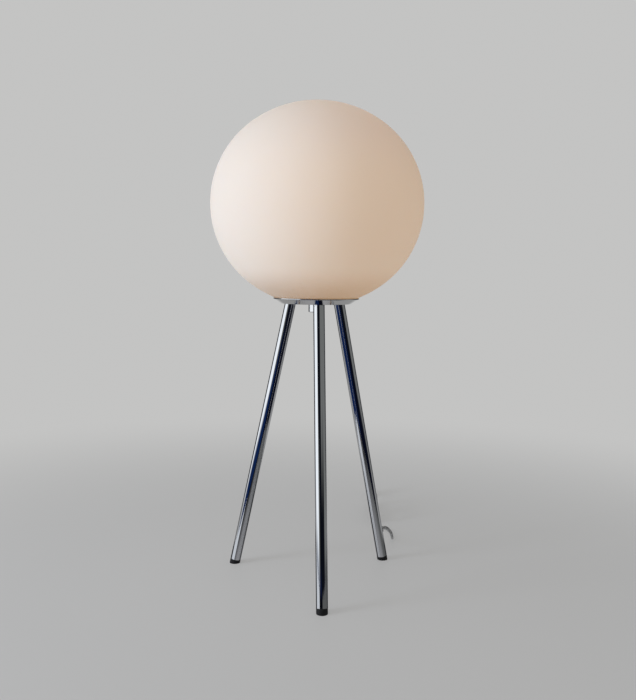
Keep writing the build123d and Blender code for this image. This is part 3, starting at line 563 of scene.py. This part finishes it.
def colour(name, description, default):
    """Colour setting."""
    return FloatVectorProperty(
        name=name, description=description, default=default, min=0.0, max=1.0, size=3,
        subtype="COLOR")


GLOBE_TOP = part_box("glass_globe")[1][2]
GLOBE_HALF_HEIGHT = 0.1421


class GlobeLampSizes(bpy.types.PropertyGroup):
    """Sizes of the lamp's visible pieces."""

    globe_half_width: length("Globe half width", "Half the width of the blown globe", 0.150)
    globe_half_height: length(
        "Globe half height", "Half the height of the whole oval", GLOBE_HALF_HEIGHT)
    globe_height: length(
        "Globe height", "Height of the globe's centre", GLOBE_TOP - GLOBE_HALF_HEIGHT)
    glass_wall: length("Glass wall", "Thickness of the glass", 0.003)
    mouth_radius: length("Mouth radius", "Radius of the globe's opening", 0.050)
    floor_radius: length("Dish floor radius", "Radius of the flat floor of the dish", 0.050)
    bead_radius: length("Bead radius", "Radius of the rolled edge of the dish", 0.0013)
    leg_radius: length("Leg radius", "Outer radius of a leg tube", 0.008)
    leg_wall: length("Leg wall", "Wall of a leg tube", 0.0012)
    foot_radius: length("Foot radius", "Radius of a rubber foot", 0.0078)
    cord_radius: length("Cord radius", "Radius of the cord's sheath", 0.0025)
    knob_radius: length("Knob radius", "Radius of the dimmer's knob", 0.011)
    bulb_radius: length("Bulb radius", "Radius of the bulb's round end", 0.030)


class GlobeLampColours(bpy.types.PropertyGroup):
    """Colours of the studio and, from the frame's record, of every finish."""

    floor: colour("Floor", "Studio floor", (0.62, 0.62, 0.62))
    backdrop: colour("Backdrop", "Studio wall", (0.55, 0.55, 0.545))


# Tones that the photograph shows otherwise than the record says.
TONES = {
    "opal_glass": (0.80, 0.76, 0.73),
    "clear_cord": (0.55, 0.55, 0.55),
    "black_rubber": (0.006, 0.006, 0.007),
}
for row in frame["record"]["materials"]:
    slot = row["slot"]
    GlobeLampColours.__annotations__[slot] = colour(
        slot.replace("_", " ").capitalize(), row["finish"], TONES.get(slot, row["base_color"][:3]))


# ---- Stage ------------------------------------------------------------------------------

CAMERA_PLACE = (0.00341, -1.16401, 0.44329)
CAMERA_PITCH = 84.688
CAMERA_ROLL = 0.666
CAMERA_LENS = 41.875
SENSOR = 36.0

# The room that gloss sees. A way is level, across and away from the camera.
WINDOW_WAY = (-0.966, -0.259)
HIGH_SCREEN_WAY = (-0.242, -0.970)
LOW_SCREEN_WAY = (0.309, -0.951)
SIDE_WALL = (0.19, 0.195, 0.19)
DARK_CORNER = (0.05, 0.05, 0.055)
SCREEN_TONE = (0.005, 0.006, 0.010)
WINDOW_TONE = (1.15, 1.2, 1.25)
FAR_GROUND = (0.34, 0.34, 0.34)
LEFT_GROUND = (0.006, 0.020, 0.085)
RIGHT_GROUND = (0.003, 0.004, 0.012)
CEILING = (0.6, 0.6, 0.61)
SOFT_LIGHT = (0.28, 0.28, 0.28)

# Light panels: name, azimuth seen from the lamp, distance, height, width, tallness, power, colour.
PANELS = [
    ("key_panel", -66.0, 1.7, 0.45, 0.50, 1.4, 17.0, (0.86, 0.91, 1.0)),
    ("top_panel", -40.0, 0.7, 2.1, 1.2, 1.2, 4.0, (1.0, 0.99, 0.98)),
]
PANEL_AIM = Vector((0, 0, 0.42))

FLOOR_SIZE = 9.0
FLOOR_STAIN = (0.5, 0.5, 0.5)
# Distances from the lamp over which the seen floor turns into the backdrop.
FADE_START = 0.35
FADE_END = 1.4
# How much of the backdrop's plain light the camera sees in the floor at the lamp.
NEAR_FADE = 0.5
# Distances over which the polish that gloss sees ends.
POLISH_START = 0.18
POLISH_END = 0.24
POLISH_TONE = (0.62, 0.62, 0.63)
POLISH_ROUGHNESS = 0.08


class LAMP_OT_stage(bpy.types.Operator):
    """Make the camera, the studio lights, the world and the floor"""

    bl_idname = "globe_lamp.stage"
    bl_label = "Stage"

    def execute(self, context):
        colours = context.scene.globe_lamp_colours
        self.make_camera(context)
        self.make_world(context, colours)
        self.make_lights()
        self.make_floor(colours)
        context.scene.view_settings.view_transform = "Standard"
        return {"FINISHED"}

    def make_camera(self, context):
        pitch = Matrix.Rotation(radians(CAMERA_PITCH), 3, "X")
        roll = Matrix.Rotation(radians(CAMERA_ROLL), 3, "Z")
        bpy.ops.object.camera_add(location=CAMERA_PLACE, rotation=(pitch @ roll).to_euler())
        camera = context.object
        camera.data.lens = CAMERA_LENS
        camera.data.sensor_width = SENSOR
        context.scene.camera = camera

    def make_world(self, context, colours):
        world = bpy.data.worlds.new("studio")
        context.scene.world = world
        nodes = Nodes(world)
        x, y, z = nodes.axes(nodes.place("Generated"))
        level_part = (x * x + y * y) ** 0.5
        across = x / level_part
        behind = y / level_part

        def towards(way, low, high):
            return nodes.smooth(across * way[0] + behind * way[1], low, high)

        above = nodes.smooth(z, -0.15, 0.15)
        screen = (
            towards(HIGH_SCREEN_WAY, 0.86, 0.92) * above
            + towards(LOW_SCREEN_WAY, 0.68, 0.78) * (1.0 - above))
        near_ground = nodes.blend(nodes.smooth(x, -0.10, 0.12), LEFT_GROUND, RIGHT_GROUND)
        room = SIDE_WALL
        for share, tone in (
                (nodes.smooth(behind, 0.25, 0.50), DARK_CORNER),
                (nodes.smooth(behind, 0.88, 0.97), colours.backdrop),
                (screen, SCREEN_TONE),
                (towards(WINDOW_WAY, 0.82, 0.88), WINDOW_TONE),
                (nodes.smooth(z, -0.2, -0.45) * nodes.smooth(y, -0.15, 0.1), FAR_GROUND),
                (nodes.smooth(z, -0.22, -0.40) * nodes.smooth(y, 0.05, -0.15), near_ground),
                (nodes.smooth(z, 0.6, 0.95), CEILING),
                (nodes.ray("Diffuse"), SOFT_LIGHT),
                (nodes.ray("Camera"), colours.backdrop)):
            room = nodes.blend(share, room, tone)
        nodes.feed(nodes.tree.nodes["Background"].inputs["Color"], room)

    def make_lights(self):
        for name, azimuth, distance, height, width, tall, power, tint in PANELS:
            turn = radians(azimuth)
            place = Vector((distance * sin(turn), -distance * cos(turn), height))
            aim = (PANEL_AIM - place).to_track_quat("-Z", "Y")
            bpy.ops.object.light_add(type="AREA", location=place, rotation=aim.to_euler())
            lamp = bpy.context.object
            lamp.name = name
            lamp.data.shape = "RECTANGLE"
            lamp.data.size = width
            lamp.data.size_y = tall
            lamp.data.energy = power
            lamp.data.color = tint
            lamp.visible_glossy = False
            lamp.visible_camera = False

    def make_floor(self, colours):
        deselect()
        bpy.ops.mesh.primitive_plane_add(size=FLOOR_SIZE, location=(0, 0, 0))
        floor = bpy.context.object
        floor.name = "studio_floor"
        edit()
        bpy.ops.mesh.subdivide(number_cuts=3)
        leave_edit()
        material, nodes, paint = new_finish("studio_floor", Roughness=0.55, Specular_IOR_Level=0.3)
        paint(Base_Color=nodes.blend(nodes.noise(3.0, 3.0) * 0.06, colours.floor, FLOOR_STAIN))
        x, y = nodes.axes(wanted="XY")
        away = (x * x + y * y) ** 0.5
        shader = Value(nodes, nodes.tree.nodes["Principled BSDF"].outputs[0])
        plain = nodes.add("ShaderNodeEmission", None, {"Color": colours.backdrop})
        near = nodes.ray("Camera") * NEAR_FADE
        faded = nodes.mix_shaders(
            near + (1.0 - near) * nodes.smooth(away, FADE_START, FADE_END), shader, plain)
        # Gloss sees a polished ground round the lamp, and the room past it.
        polish = nodes.add(
            "ShaderNodeBsdfGlossy", None, {"Color": POLISH_TONE, "Roughness": POLISH_ROUGHNESS})
        open_air = nodes.add("ShaderNodeBsdfTransparent")
        in_gloss = nodes.mix_shaders(
            nodes.smooth(away, POLISH_START, POLISH_END), polish, open_air)
        surface = nodes.mix_shaders(nodes.ray("Glossy"), faded, in_gloss)
        nodes.feed(nodes.tree.nodes["Material Output"].inputs["Surface"], surface)
        floor.data.materials.append(material)


# ---- Cord -------------------------------------------------------------------------------

# Over in a low arc, down to the surface behind, and into the hank.
CORD_ROUTE = [
    EXIT_FACE,
    EXIT_FACE + EXIT_WAY * 0.014,
    (0.1245, 0.1180, 0.0310),
    (0.1290, 0.1430, 0.0140),
    (0.1325, 0.1700, 0.0025),
    (0.1330, 0.2000, 0.0025),
    (0.1270, 0.2260, 0.0025),
    (0.1080, 0.2370, 0.0025),
    (0.10525, 0.2570, 0.0025),
    (0.10525, 0.2735, 0.0025),
]
TAIL_ROUTE = [
    (0.11075, 0.3585, 0.0025),
    (0.11075, 0.3725, 0.0025),
    (0.1123, 0.3980, 0.0177),
    (0.1123, 0.4120, 0.0177),
]
HANK_TURNS = 3
HANK_HALF_RUN = 0.0375
HANK_LAYER = 0.00275
HANK_STEP = 0.006
INNER_FOLD = 0.011
WAIST_DRAW = 0.008
# Control points of a run, in half runs from its middle, and of a fold, in degrees round it.
RUN_ENDS = 0.75
RUN_MIDDLE = 0.25
FOLD_TURNS = (67.5, 22.5, -22.5, -67.5)
# Reach of the smooth line in a fold, as a share of its control points' reach.
FOLD_SHARE = 0.925


def hank_points():
    """Control points of the hank: in through the near layer and out through the far one."""
    tops = [INNER_FOLD - HANK_STEP / 4 + HANK_STEP * turn for turn in range(HANK_TURNS)]
    lows = [-height - HANK_STEP / 2 for height in tops]
    runs = []
    for turn in reversed(range(HANK_TURNS)):
        runs.append((lows[turn], -1, -1))
        runs.append((tops[turn], -1, -1 if turn else 1))
    for turn in range(HANK_TURNS):
        runs.append((lows[turn], 1, 1))
        if turn < HANK_TURNS - 1:
            runs.append((tops[turn + 1], 1, 1))
    points = []
    way = 1
    for index, (height, layer_in, layer_out) in enumerate(runs):
        drawn = height + (WAIST_DRAW if height < 0 else -WAIST_DRAW)
        middle = (layer_in + layer_out) / 2
        for along, level, layer in (
                (-RUN_ENDS, height, layer_in), (-RUN_MIDDLE, drawn, middle),
                (RUN_MIDDLE, drawn, middle), (RUN_ENDS, height, layer_out)):
            points.append(HANK_MIDDLE + Vector((
                layer * HANK_LAYER, way * along * HANK_HALF_RUN, level)))
        if index + 1 < len(runs):
            following = runs[index + 1][0]
            centre = (height + following) / 2
            reach = (height - following) / 2 / FOLD_SHARE
            for turn in FOLD_TURNS:
                points.append(HANK_MIDDLE + Vector((
                    layer_out * HANK_LAYER,
                    way * (HANK_HALF_RUN + abs(reach) * cos(radians(turn))),
                    centre + reach * sin(radians(turn)))))
        way = -way
    return points


class LAMP_OT_cord(bpy.types.Operator):
    """Lay the free cord, its hank and its tail as one smooth tube"""

    bl_idname = "globe_lamp.cord"
    bl_label = "Cord"

    def execute(self, context):
        sizes = context.scene.globe_lamp_sizes
        points = [*CORD_ROUTE, *hank_points(), *TAIL_ROUTE]
        deselect()
        bpy.ops.curve.primitive_nurbs_path_add(location=(0, 0, 0))
        cord = context.object
        cord.data.splines.clear()
        spline = cord.data.splines.new("NURBS")
        spline.points.add(len(points) - 1)
        for point, place in zip(spline.points, points):
            point.co = (*place, 1.0)
        spline.order_u = 3
        spline.use_endpoint_u = True
        spline.resolution_u = 8
        cord.data.dimensions = "3D"
        cord.data.bevel_depth = sizes.cord_radius
        cord.data.bevel_resolution = 6
        cord.data.use_fill_caps = True
        cord.name = "free_cord"
        cord.data.name = "free_cord"
        cord.data.materials.append(finish_for("clear_cord"))
        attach(cord, "root")
        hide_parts("cord", "cord_hank", "cord_tail")
        return {"FINISHED"}


# ---- Globe ------------------------------------------------------------------------------

SIDE_ARC_SHARE = 0.92
ARRIS = 0.0005
CROWN_STEPS = 26
SIDE_STEPS = 44
MOUTH_STEPS = 8
FINE_SPIN = 128


def oval_wall(half_width, half_height, centre, mouth):
    """Section of one wall of the globe, from its crown down to a radius at the mouth."""
    side = half_width * SIDE_ARC_SHARE
    shift = half_width - side
    pole = (shift ** 2 + half_height ** 2 - side ** 2) / (2 * (half_height - side))
    rise = pole - half_height
    joint = degrees(atan2(rise, shift))
    return (
        arc((0, centre - rise), pole, 90, joint, CROWN_STEPS)
        + arc((shift, centre), side, joint, -joint, SIDE_STEPS)[1:]
        + arc((0, centre + rise), pole, -joint, -degrees(acos(mouth / pole)), MOUTH_STEPS)[1:])


class LAMP_OT_globe(bpy.types.Operator):
    """Turn the opal glass globe, with its wall and the ground edges of its mouth"""

    bl_idname = "globe_lamp.globe"
    bl_label = "Globe"

    def execute(self, context):
        sizes = context.scene.globe_lamp_sizes
        edge = sizes.mouth_radius + ARRIS
        outer, inner = (
            oval_wall(
                sizes.globe_half_width - inset, sizes.globe_half_height - inset,
                sizes.globe_height, edge)
            for inset in (0.0, sizes.glass_wall))
        mouth = [
            (sizes.mouth_radius, outer[-1][1] + ARRIS), (sizes.mouth_radius, inner[-1][1] - ARRIS)]
        globe = turned("globe", outer + mouth + inner[::-1], steps=FINE_SPIN)
        hand_over(globe, "opal_globe", "opal_glass", "globe", "glass_globe")
        return {"FINISHED"}


# ---- Dish -------------------------------------------------------------------------------

BEAD_CENTRE = (0.0604, 0.4091)
FLOOR_BEND = 0.0025
FIXING_HOLE = 0.0051
BEND_STEPS = 8
BEAD_STEPS = 26


class LAMP_OT_dish(bpy.types.Operator):
    """Turn the spun dish with its rolled rim and middle hole, and cut the legs' three holes"""

    bl_idname = "globe_lamp.dish"
    bl_label = "Dish"

    def execute(self, context):
        sizes = context.scene.globe_lamp_sizes
        bead = sizes.bead_radius
        run = BEAD_CENTRE[0] - sizes.floor_radius
        rise = BEAD_CENTRE[1] - DISH_FLOOR
        slope = atan2(rise - SHEET / 2, run)
        drop = rise * cos(slope) - run * sin(slope)
        bend_centre = (sizes.floor_radius - FLOOR_BEND * tan(slope / 2), DISH_FLOOR + FLOOR_BEND)
        tilt = degrees(slope)
        bead_start = tilt + 180 + degrees(asin(drop / bead))
        bead_end = tilt + 540 - degrees(asin((SHEET - drop) / bead))
        section = (
            [(FIXING_HOLE, DISH_FLOOR)]
            + arc(bend_centre, FLOOR_BEND, -90, tilt - 90, BEND_STEPS)
            + arc(BEAD_CENTRE, bead, bead_start, bead_end, BEAD_STEPS)
            + arc(bend_centre, FLOOR_BEND - SHEET, tilt - 90, -90, BEND_STEPS)
            + [(FIXING_HOLE, DISH_FLOOR + SHEET), (FIXING_HOLE, DISH_FLOOR)])
        dish = turned("dish", section, steps=FINE_SPIN)
        for angle in LEG_ANGLES.values():
            below = polar(LEG_TOP_RADIUS, angle, DISH_FLOOR - SHEET)
            cut_away(dish, bar(FIXING_HOLE, below, UPWARDS, 4 * SHEET))
        hand_over(dish, "chrome_dish", "chrome_dish", "root", "dish")
        return {"FINISHED"}


# ---- Legs -------------------------------------------------------------------------------

TUBE_BLANK = 0.44
TUBE_ARRIS = 0.0003
EXIT_HOLE = 0.0039
EXIT_HOLE_DEPTH = 0.012
TUBE_SIDES = 96
FOOT_DROP = 0.014
STEM_TOP = 0.016
STEM_RADIUS = 0.006
RIB_RADIUS = 0.0068
RIB_TOP_RADIUS = 0.0064
RIB_HEIGHT = 0.0016
RIB_PITCH = 0.004
RIB_COUNT = 3


def leg_axis(angle):
    """Point at a tube's lower end, and the way up its axis."""
    foot = polar(LEG_FOOT_RADIUS, angle, 0)
    rise = polar(LEG_TOP_RADIUS, angle, DISH_FLOOR) - foot
    return foot + rise * (TUBE_END / DISH_FLOOR), rise.normalized()


class LAMP_OT_legs(bpy.types.Operator):
    """Draw the three leg tubes, cut them level under the dish, and drill the cord's hole"""

    bl_idname = "globe_lamp.legs"
    bl_label = "Legs"

    def execute(self, context):
        sizes = context.scene.globe_lamp_sizes
        for side, angle in LEG_ANGLES.items():
            deselect()
            bpy.ops.mesh.primitive_cylinder_add(
                vertices=TUBE_SIDES, radius=sizes.leg_radius, depth=TUBE_BLANK,
                end_fill_type="NOTHING", location=(0, 0, TUBE_BLANK / 2))
            tube = context.object
            place_in_mesh()
            apply_modifier(tube, "SOLIDIFY", thickness=sizes.leg_wall, offset=-1.0)
            soften(tube, TUBE_ARRIS)
            set_place(tube, *leg_axis(angle))
            edit()
            bpy.ops.mesh.bisect(plane_co=(0, 0, DISH_FLOOR), plane_no=UPWARDS, clear_outer=True)
            bpy.ops.mesh.bridge_edge_loops()
            leave_edit()
            if side == "right":
                on_axis = EXIT_FACE - EXIT_WAY * GROMMET_REACH
                cut_away(tube, bar(EXIT_HOLE, on_axis, EXIT_WAY, EXIT_HOLE_DEPTH))
            hand_over(tube, f"chrome_leg_{side}", "chrome_tube", "root", f"leg_tube_{side}")
        return {"FINISHED"}


class LAMP_OT_feet(bpy.types.Operator):
    """Mould the rubber feet: a head cut level with the floor, and a ribbed stem"""

    bl_idname = "globe_lamp.feet"
    bl_label = "Feet"

    def execute(self, context):
        sizes = context.scene.globe_lamp_sizes
        head = sizes.foot_radius
        ribs = []
        for rib in range(1, RIB_COUNT + 1):
            low = rib * RIB_PITCH
            ribs += [
                (STEM_RADIUS, low), (RIB_RADIUS, low), (RIB_TOP_RADIUS, low + RIB_HEIGHT),
                (STEM_RADIUS, low + RIB_HEIGHT)]
        section = [
            (0, -FOOT_DROP), (head, -FOOT_DROP), (head, -TUBE_ARRIS), (head - TUBE_ARRIS, 0),
            (STEM_RADIUS, 0), *ribs, (STEM_RADIUS, STEM_TOP), (0, STEM_TOP)]
        for side, angle in LEG_ANGLES.items():
            foot = turned("foot", section, steps=64)
            set_place(foot, *leg_axis(angle))
            edit()
            bpy.ops.mesh.bisect(
                plane_co=(0, 0, 0), plane_no=UPWARDS, clear_inner=True, use_fill=True)
            leave_edit()
            soften(foot, TUBE_ARRIS, angle=60.0)
            hand_over(foot, f"foot_{side}", "black_rubber", "root", f"rubber_foot_{side}")
        return {"FINISHED"}


# ---- Knob -------------------------------------------------------------------------------

KNOB_LOW = 0.3893
KNOB_TOP = 0.4007
KNOB_ROUND = 0.0012
KNOB_ARRIS = 0.0004
NUT_RECESS = (0.00858, 0.0026)
BUSH_RECESS = (0.0056, 0.0046)
SPINDLE = 0.003
SPINDLE_LOW = 0.3913
GRUB_HEIGHT = 0.3943
GRUB_RADIUS = 0.0015
GRUB_OVERLAP = 0.001
INDEX_WIDTH = 0.001
INDEX_TALL = 0.0008
INDEX_SHIFT = 0.0015
INDEX_SHORT = 0.0045


class LAMP_OT_knob(bpy.types.Operator):
    """Turn the dimmer's knob, hollow above, with a grub screw's hole and an index line below"""

    bl_idname = "globe_lamp.knob"
    bl_label = "Knob"

    def execute(self, context):
        radius = context.scene.globe_lamp_sizes.knob_radius
        nut_radius, nut_depth = NUT_RECESS
        bush_radius, bush_depth = BUSH_RECESS
        section = [
            (0, KNOB_LOW),
            *arc((radius - KNOB_ROUND, KNOB_LOW + KNOB_ROUND), KNOB_ROUND, -90, 0, CORNER_STEPS),
            (radius, KNOB_TOP - KNOB_ARRIS), (radius - KNOB_ARRIS, KNOB_TOP),
            (nut_radius, KNOB_TOP), (nut_radius, KNOB_TOP - nut_depth),
            (bush_radius, KNOB_TOP - nut_depth), (bush_radius, KNOB_TOP - bush_depth),
            (SPINDLE, KNOB_TOP - bush_depth), (SPINDLE, SPINDLE_LOW), (0, SPINDLE_LOW)]
        knob = turned("knob", section)
        cut_away(knob, bar(
            GRUB_RADIUS, (0, SPINDLE - GRUB_OVERLAP, GRUB_HEIGHT), BACKWARDS, radius))
        cut_away(knob, block(
            (0, -radius / 2 - INDEX_SHIFT, KNOB_LOW),
            (INDEX_WIDTH, radius - INDEX_SHORT, INDEX_TALL)))
        hand_over(knob, "dimmer_knob_turned", "chrome_knob", "knob", "dimmer_knob")
        return {"FINISHED"}


# ---- Bulb -------------------------------------------------------------------------------

BULB_CENTRE = 0.531
BULB_TURN = -50.0
BULB_NECK = (0.0131, 0.482)
BULB_WALL = 0.0008
CAP_LOW = 0.459
CAP_INSET = 0.0001
CAP_HEM = 0.0018
THREAD_LOW = 0.002
THREAD_PITCH = 0.0036
THREAD_DEPTH = 0.0006
THREAD_TURNS = 5
THREAD_STEPS = 8
CAP_FLARE = (0.0022, 0.0016)
CROWN_POINTS = 30
FLANK_STEPS = 14


def bulb_wall(radius, neck):
    """Section of one wall of the bulb: round crown, then a smooth flank down to the neck."""
    crown = arc((0, BULB_CENTRE), radius, 90, BULB_TURN, CROWN_POINTS)
    start = Vector(crown[-1])
    end = Vector((neck, BULB_NECK[1]))
    pull = (end - start).length
    first = Vector((sin(radians(BULB_TURN)), -cos(radians(BULB_TURN)))) * pull
    last = Vector((0, -1)) * pull
    flank = []
    for step in range(1, FLANK_STEPS + 1):
        t = step / FLANK_STEPS
        flank.append(tuple(
            start * (2 * t ** 3 - 3 * t ** 2 + 1) + first * (t ** 3 - 2 * t ** 2 + t)
            + end * (3 * t ** 2 - 2 * t ** 3) + last * (t ** 3 - t ** 2)))
    return crown + flank


class LAMP_OT_bulb(bpy.types.Operator):
    """Blow the bulb's frosted glass and roll the thread of its cap"""

    bl_idname = "globe_lamp.bulb"
    bl_label = "Bulb"

    def execute(self, context):
        radius = context.scene.globe_lamp_sizes.bulb_radius
        outer = bulb_wall(radius, BULB_NECK[0])
        inner = bulb_wall(radius - BULB_WALL, BULB_NECK[0] - BULB_WALL)
        glass = turned("bulb", outer + inner[::-1])
        hand_over(glass, "bulb_envelope", "bulb_frosted_glass", "root", "bulb_glass")

        neck, top = BULB_NECK
        crest = neck - CAP_INSET
        waves = []
        for step in range(THREAD_TURNS * THREAD_STEPS + 1):
            height = CAP_LOW + THREAD_LOW + step * THREAD_PITCH / THREAD_STEPS
            depth = THREAD_DEPTH * (0.5 - 0.5 * cos(2 * pi * step / THREAD_STEPS))
            waves.append((crest - depth, height))
        cap = turned("cap", [
            (0, CAP_LOW), (crest - CAP_HEM, CAP_LOW), *waves, (crest, top - CAP_FLARE[0]),
            (neck, top - CAP_FLARE[1]), (neck, top), (0, top)])
        hand_over(cap, "bulb_screw_cap", "bulb_aluminium", "root", "bulb_cap", smooth=50.0)
        return {"FINISHED"}


# ---- Cord fittings ----------------------------------------------------------------------

STRAP_BAND = (0.0108, 0.0353, 0.007)
STRAP_CENTRE = Vector((0.108, 0.316, 0.0255))
STRAP_WALL = 0.001
STRAP_CORNER = 0.0035
STRAP_TAB_INSET = 0.003
FINE_ARRIS = 0.0002
PLUG_NECK = 0.018
PLUG_LENGTH = 0.034
PLUG_FLARE = 0.012
PLUG_WIDE = 0.0353
PLUG_THICK = 0.0137
PLUG_TAPER = (0.8, 0.46, 1.0)
PLUG_CORNER = 0.0036
PLUG_ARRIS = 0.0008
NECK_SPIN = 48
NECK_RADIUS = 0.0037
NECK_GROWTH = 0.0003
NECK_RIBS = 5
NECK_PITCH = 0.0036
# A rib's height, the height at which its groove starts, the groove's end and its depth.
NECK_RIB = (0.0022, 0.0026, 0.0034, 0.0008)
NECK_ROOT = (0.0052, 0.001)
PIN_RADIUS = 0.002
PIN_LENGTH = 0.019
PIN_PITCH = 0.0186
PIN_SLEEVE = 0.009
PIN_STEP = 0.0001
PIN_NOSE = 0.0013
PIN_NOSE_STEPS = 6
PIN_SPIN = 32


class LAMP_OT_cord_fittings(bpy.types.Operator):
    """Wrap the hank's strap and mould the flat plug with its ribbed neck and pins"""

    bl_idname = "globe_lamp.cord_fittings"
    bl_label = "Strap and plug"

    def execute(self, context):
        self.make_strap()
        self.make_plug()
        self.make_pins()
        return {"FINISHED"}

    def make_strap(self):
        """A block is opened at both sides and rounded, and the overlapped end is joined on top."""
        across, tall, wide = STRAP_BAND
        strap = block(STRAP_CENTRE, (across + 2 * STRAP_WALL, wide, tall + 2 * STRAP_WALL))
        edit()
        for side in (STRAP_CENTRE.y - wide / 2, STRAP_CENTRE.y + wide / 2):
            select_where(strap, lambda place: abs(place.y - side) < TINY)
            bpy.ops.mesh.delete(type="ONLY_FACE")
        select_edges(strap, lambda one, two: abs(one.y - two.y) > TINY)
        bpy.ops.mesh.bevel(offset=STRAP_CORNER, segments=CORNER_STEPS, affect="EDGES")
        leave_edit()
        apply_modifier(strap, "SOLIDIFY", thickness=STRAP_WALL, offset=-1.0)
        tab = block(
            STRAP_CENTRE + UPWARDS * (tall / 2 + 1.5 * STRAP_WALL),
            (across - STRAP_TAB_INSET, wide, STRAP_WALL))
        strap = join([strap, tab])
        soften(strap, FINE_ARRIS)
        hand_over(strap, "hank_strap", "black_strap", "root", "cord_strap")

    def make_plug(self):
        """A block is narrowed at its foot and rounded, and its ribbed neck is joined on."""
        body = block(
            UPWARDS * (PLUG_NECK + PLUG_LENGTH / 2), (PLUG_THICK, PLUG_WIDE, PLUG_LENGTH))
        edit()
        bpy.ops.mesh.bisect(plane_co=(0, 0, PLUG_NECK + PLUG_FLARE), plane_no=UPWARDS)
        select_where(body, lambda place: place.z < PLUG_NECK + TINY)
        bpy.ops.transform.resize(value=PLUG_TAPER, center_override=(0, 0, PLUG_NECK))
        select_edges(body, lambda one, two: abs(one.z - two.z) > TINY)
        bpy.ops.mesh.bevel(offset=PLUG_CORNER, segments=CORNER_STEPS, affect="EDGES")
        leave_edit()
        soften(body, PLUG_ARRIS, segments=4)
        rib_top, groove_low, groove_top, groove_depth = NECK_RIB
        section = [(0, 0)]
        low = 0.0
        for rib in range(NECK_RIBS):
            radius = NECK_RADIUS + rib * NECK_GROWTH
            section += [
                (radius, low), (radius, low + rib_top),
                (radius - groove_depth, low + groove_low),
                (radius - groove_depth, low + groove_top)]
            low += NECK_PITCH
        root_radius, root_depth = NECK_ROOT
        section += [
            (root_radius, PLUG_NECK), (root_radius, PLUG_NECK + root_depth),
            (0, PLUG_NECK + root_depth)]
        neck = turned("neck", section, steps=NECK_SPIN)
        soften(neck, FINE_ARRIS)
        plug = join([body, neck])
        set_place(plug, PLUG_REAR, BACKWARDS)
        hand_over(plug, "mains_plug_body", "plug_plastic", "root", "plug_body")

    def make_pins(self):
        """Two turned pins with a round nose, thinner past the step at the end of their sleeve."""
        face = PLUG_NECK + PLUG_LENGTH
        tip = face + PIN_LENGTH - PIN_STEP
        thin = PIN_RADIUS - PIN_STEP
        section = [
            (0, face), (PIN_RADIUS, face), (PIN_RADIUS, face + PIN_SLEEVE),
            (thin, face + PIN_SLEEVE + PIN_STEP),
            *arc((thin - PIN_NOSE, tip - PIN_NOSE), PIN_NOSE, 0, 90, PIN_NOSE_STEPS), (0, tip)]
        pins = []
        for offset in (-PIN_PITCH / 2, PIN_PITCH / 2):
            pin = turned("pin", section, steps=PIN_SPIN)
            set_place(pin, PLUG_REAR + UPWARDS * offset, BACKWARDS)
            pins.append(pin)
        hand_over(join(pins), "mains_plug_pins", "plug_brass", "root", "plug_pins")


# ---- Remaining nodes --------------------------------------------------------------------


class LAMP_OT_fittings(bpy.types.Operator):
    """Give every piece that keeps its own shape its finish"""

    bl_idname = "globe_lamp.fittings"
    bl_label = "Fittings"

    def execute(self, context):
        for row in frame["record"]["subparts"]:
            piece = frame["nodes"][row["node"]]
            if piece.hide_render:
                continue
            for holder in piece.material_slots:
                holder.material = finish_for(row["material_slot"])
        return {"FINISHED"}


PIECE_OPERATORS = [
    (LAMP_OT_stage, "stage"),
    (LAMP_OT_cord_fittings, "cord_fittings"),
    (LAMP_OT_cord, "cord"),
    (LAMP_OT_globe, "globe"),
    (LAMP_OT_dish, "dish"),
    (LAMP_OT_legs, "legs"),
    (LAMP_OT_feet, "feet"),
    (LAMP_OT_knob, "knob"),
    (LAMP_OT_bulb, "bulb"),
    (LAMP_OT_fittings, "fittings"),
]


class LAMP_PT_builder(bpy.types.Panel):
    """Sizes, colours and building steps of the lamp"""

    bl_idname = "LAMP_PT_builder"
    bl_label = "Globe Lamp"
    bl_space_type = "VIEW_3D"
    bl_region_type = "UI"
    bl_category = "Globe Lamp"

    def draw(self, context):
        layout = self.layout
        for settings in (context.scene.globe_lamp_sizes, context.scene.globe_lamp_colours):
            box = layout.box()
            for setting in settings.__annotations__:
                box.prop(settings, setting)
        for operator, step in PIECE_OPERATORS:
            layout.operator(operator.bl_idname)


CLASSES = [
    GlobeLampSizes,
    GlobeLampColours,
    *(operator for operator, step in PIECE_OPERATORS),
    LAMP_PT_builder,
]


def register():
    for item in CLASSES:
        bpy.utils.register_class(item)
    bpy.types.Scene.globe_lamp_sizes = PointerProperty(type=GlobeLampSizes)
    bpy.types.Scene.globe_lamp_colours = PointerProperty(type=GlobeLampColours)


def unregister():
    del bpy.types.Scene.globe_lamp_colours
    del bpy.types.Scene.globe_lamp_sizes
    for item in reversed(CLASSES):
        bpy.utils.unregister_class(item)


def main():
    register()
    for operator, step in PIECE_OPERATORS:
        getattr(bpy.ops.globe_lamp, step)()


if __name__ == "__main__":
    main()
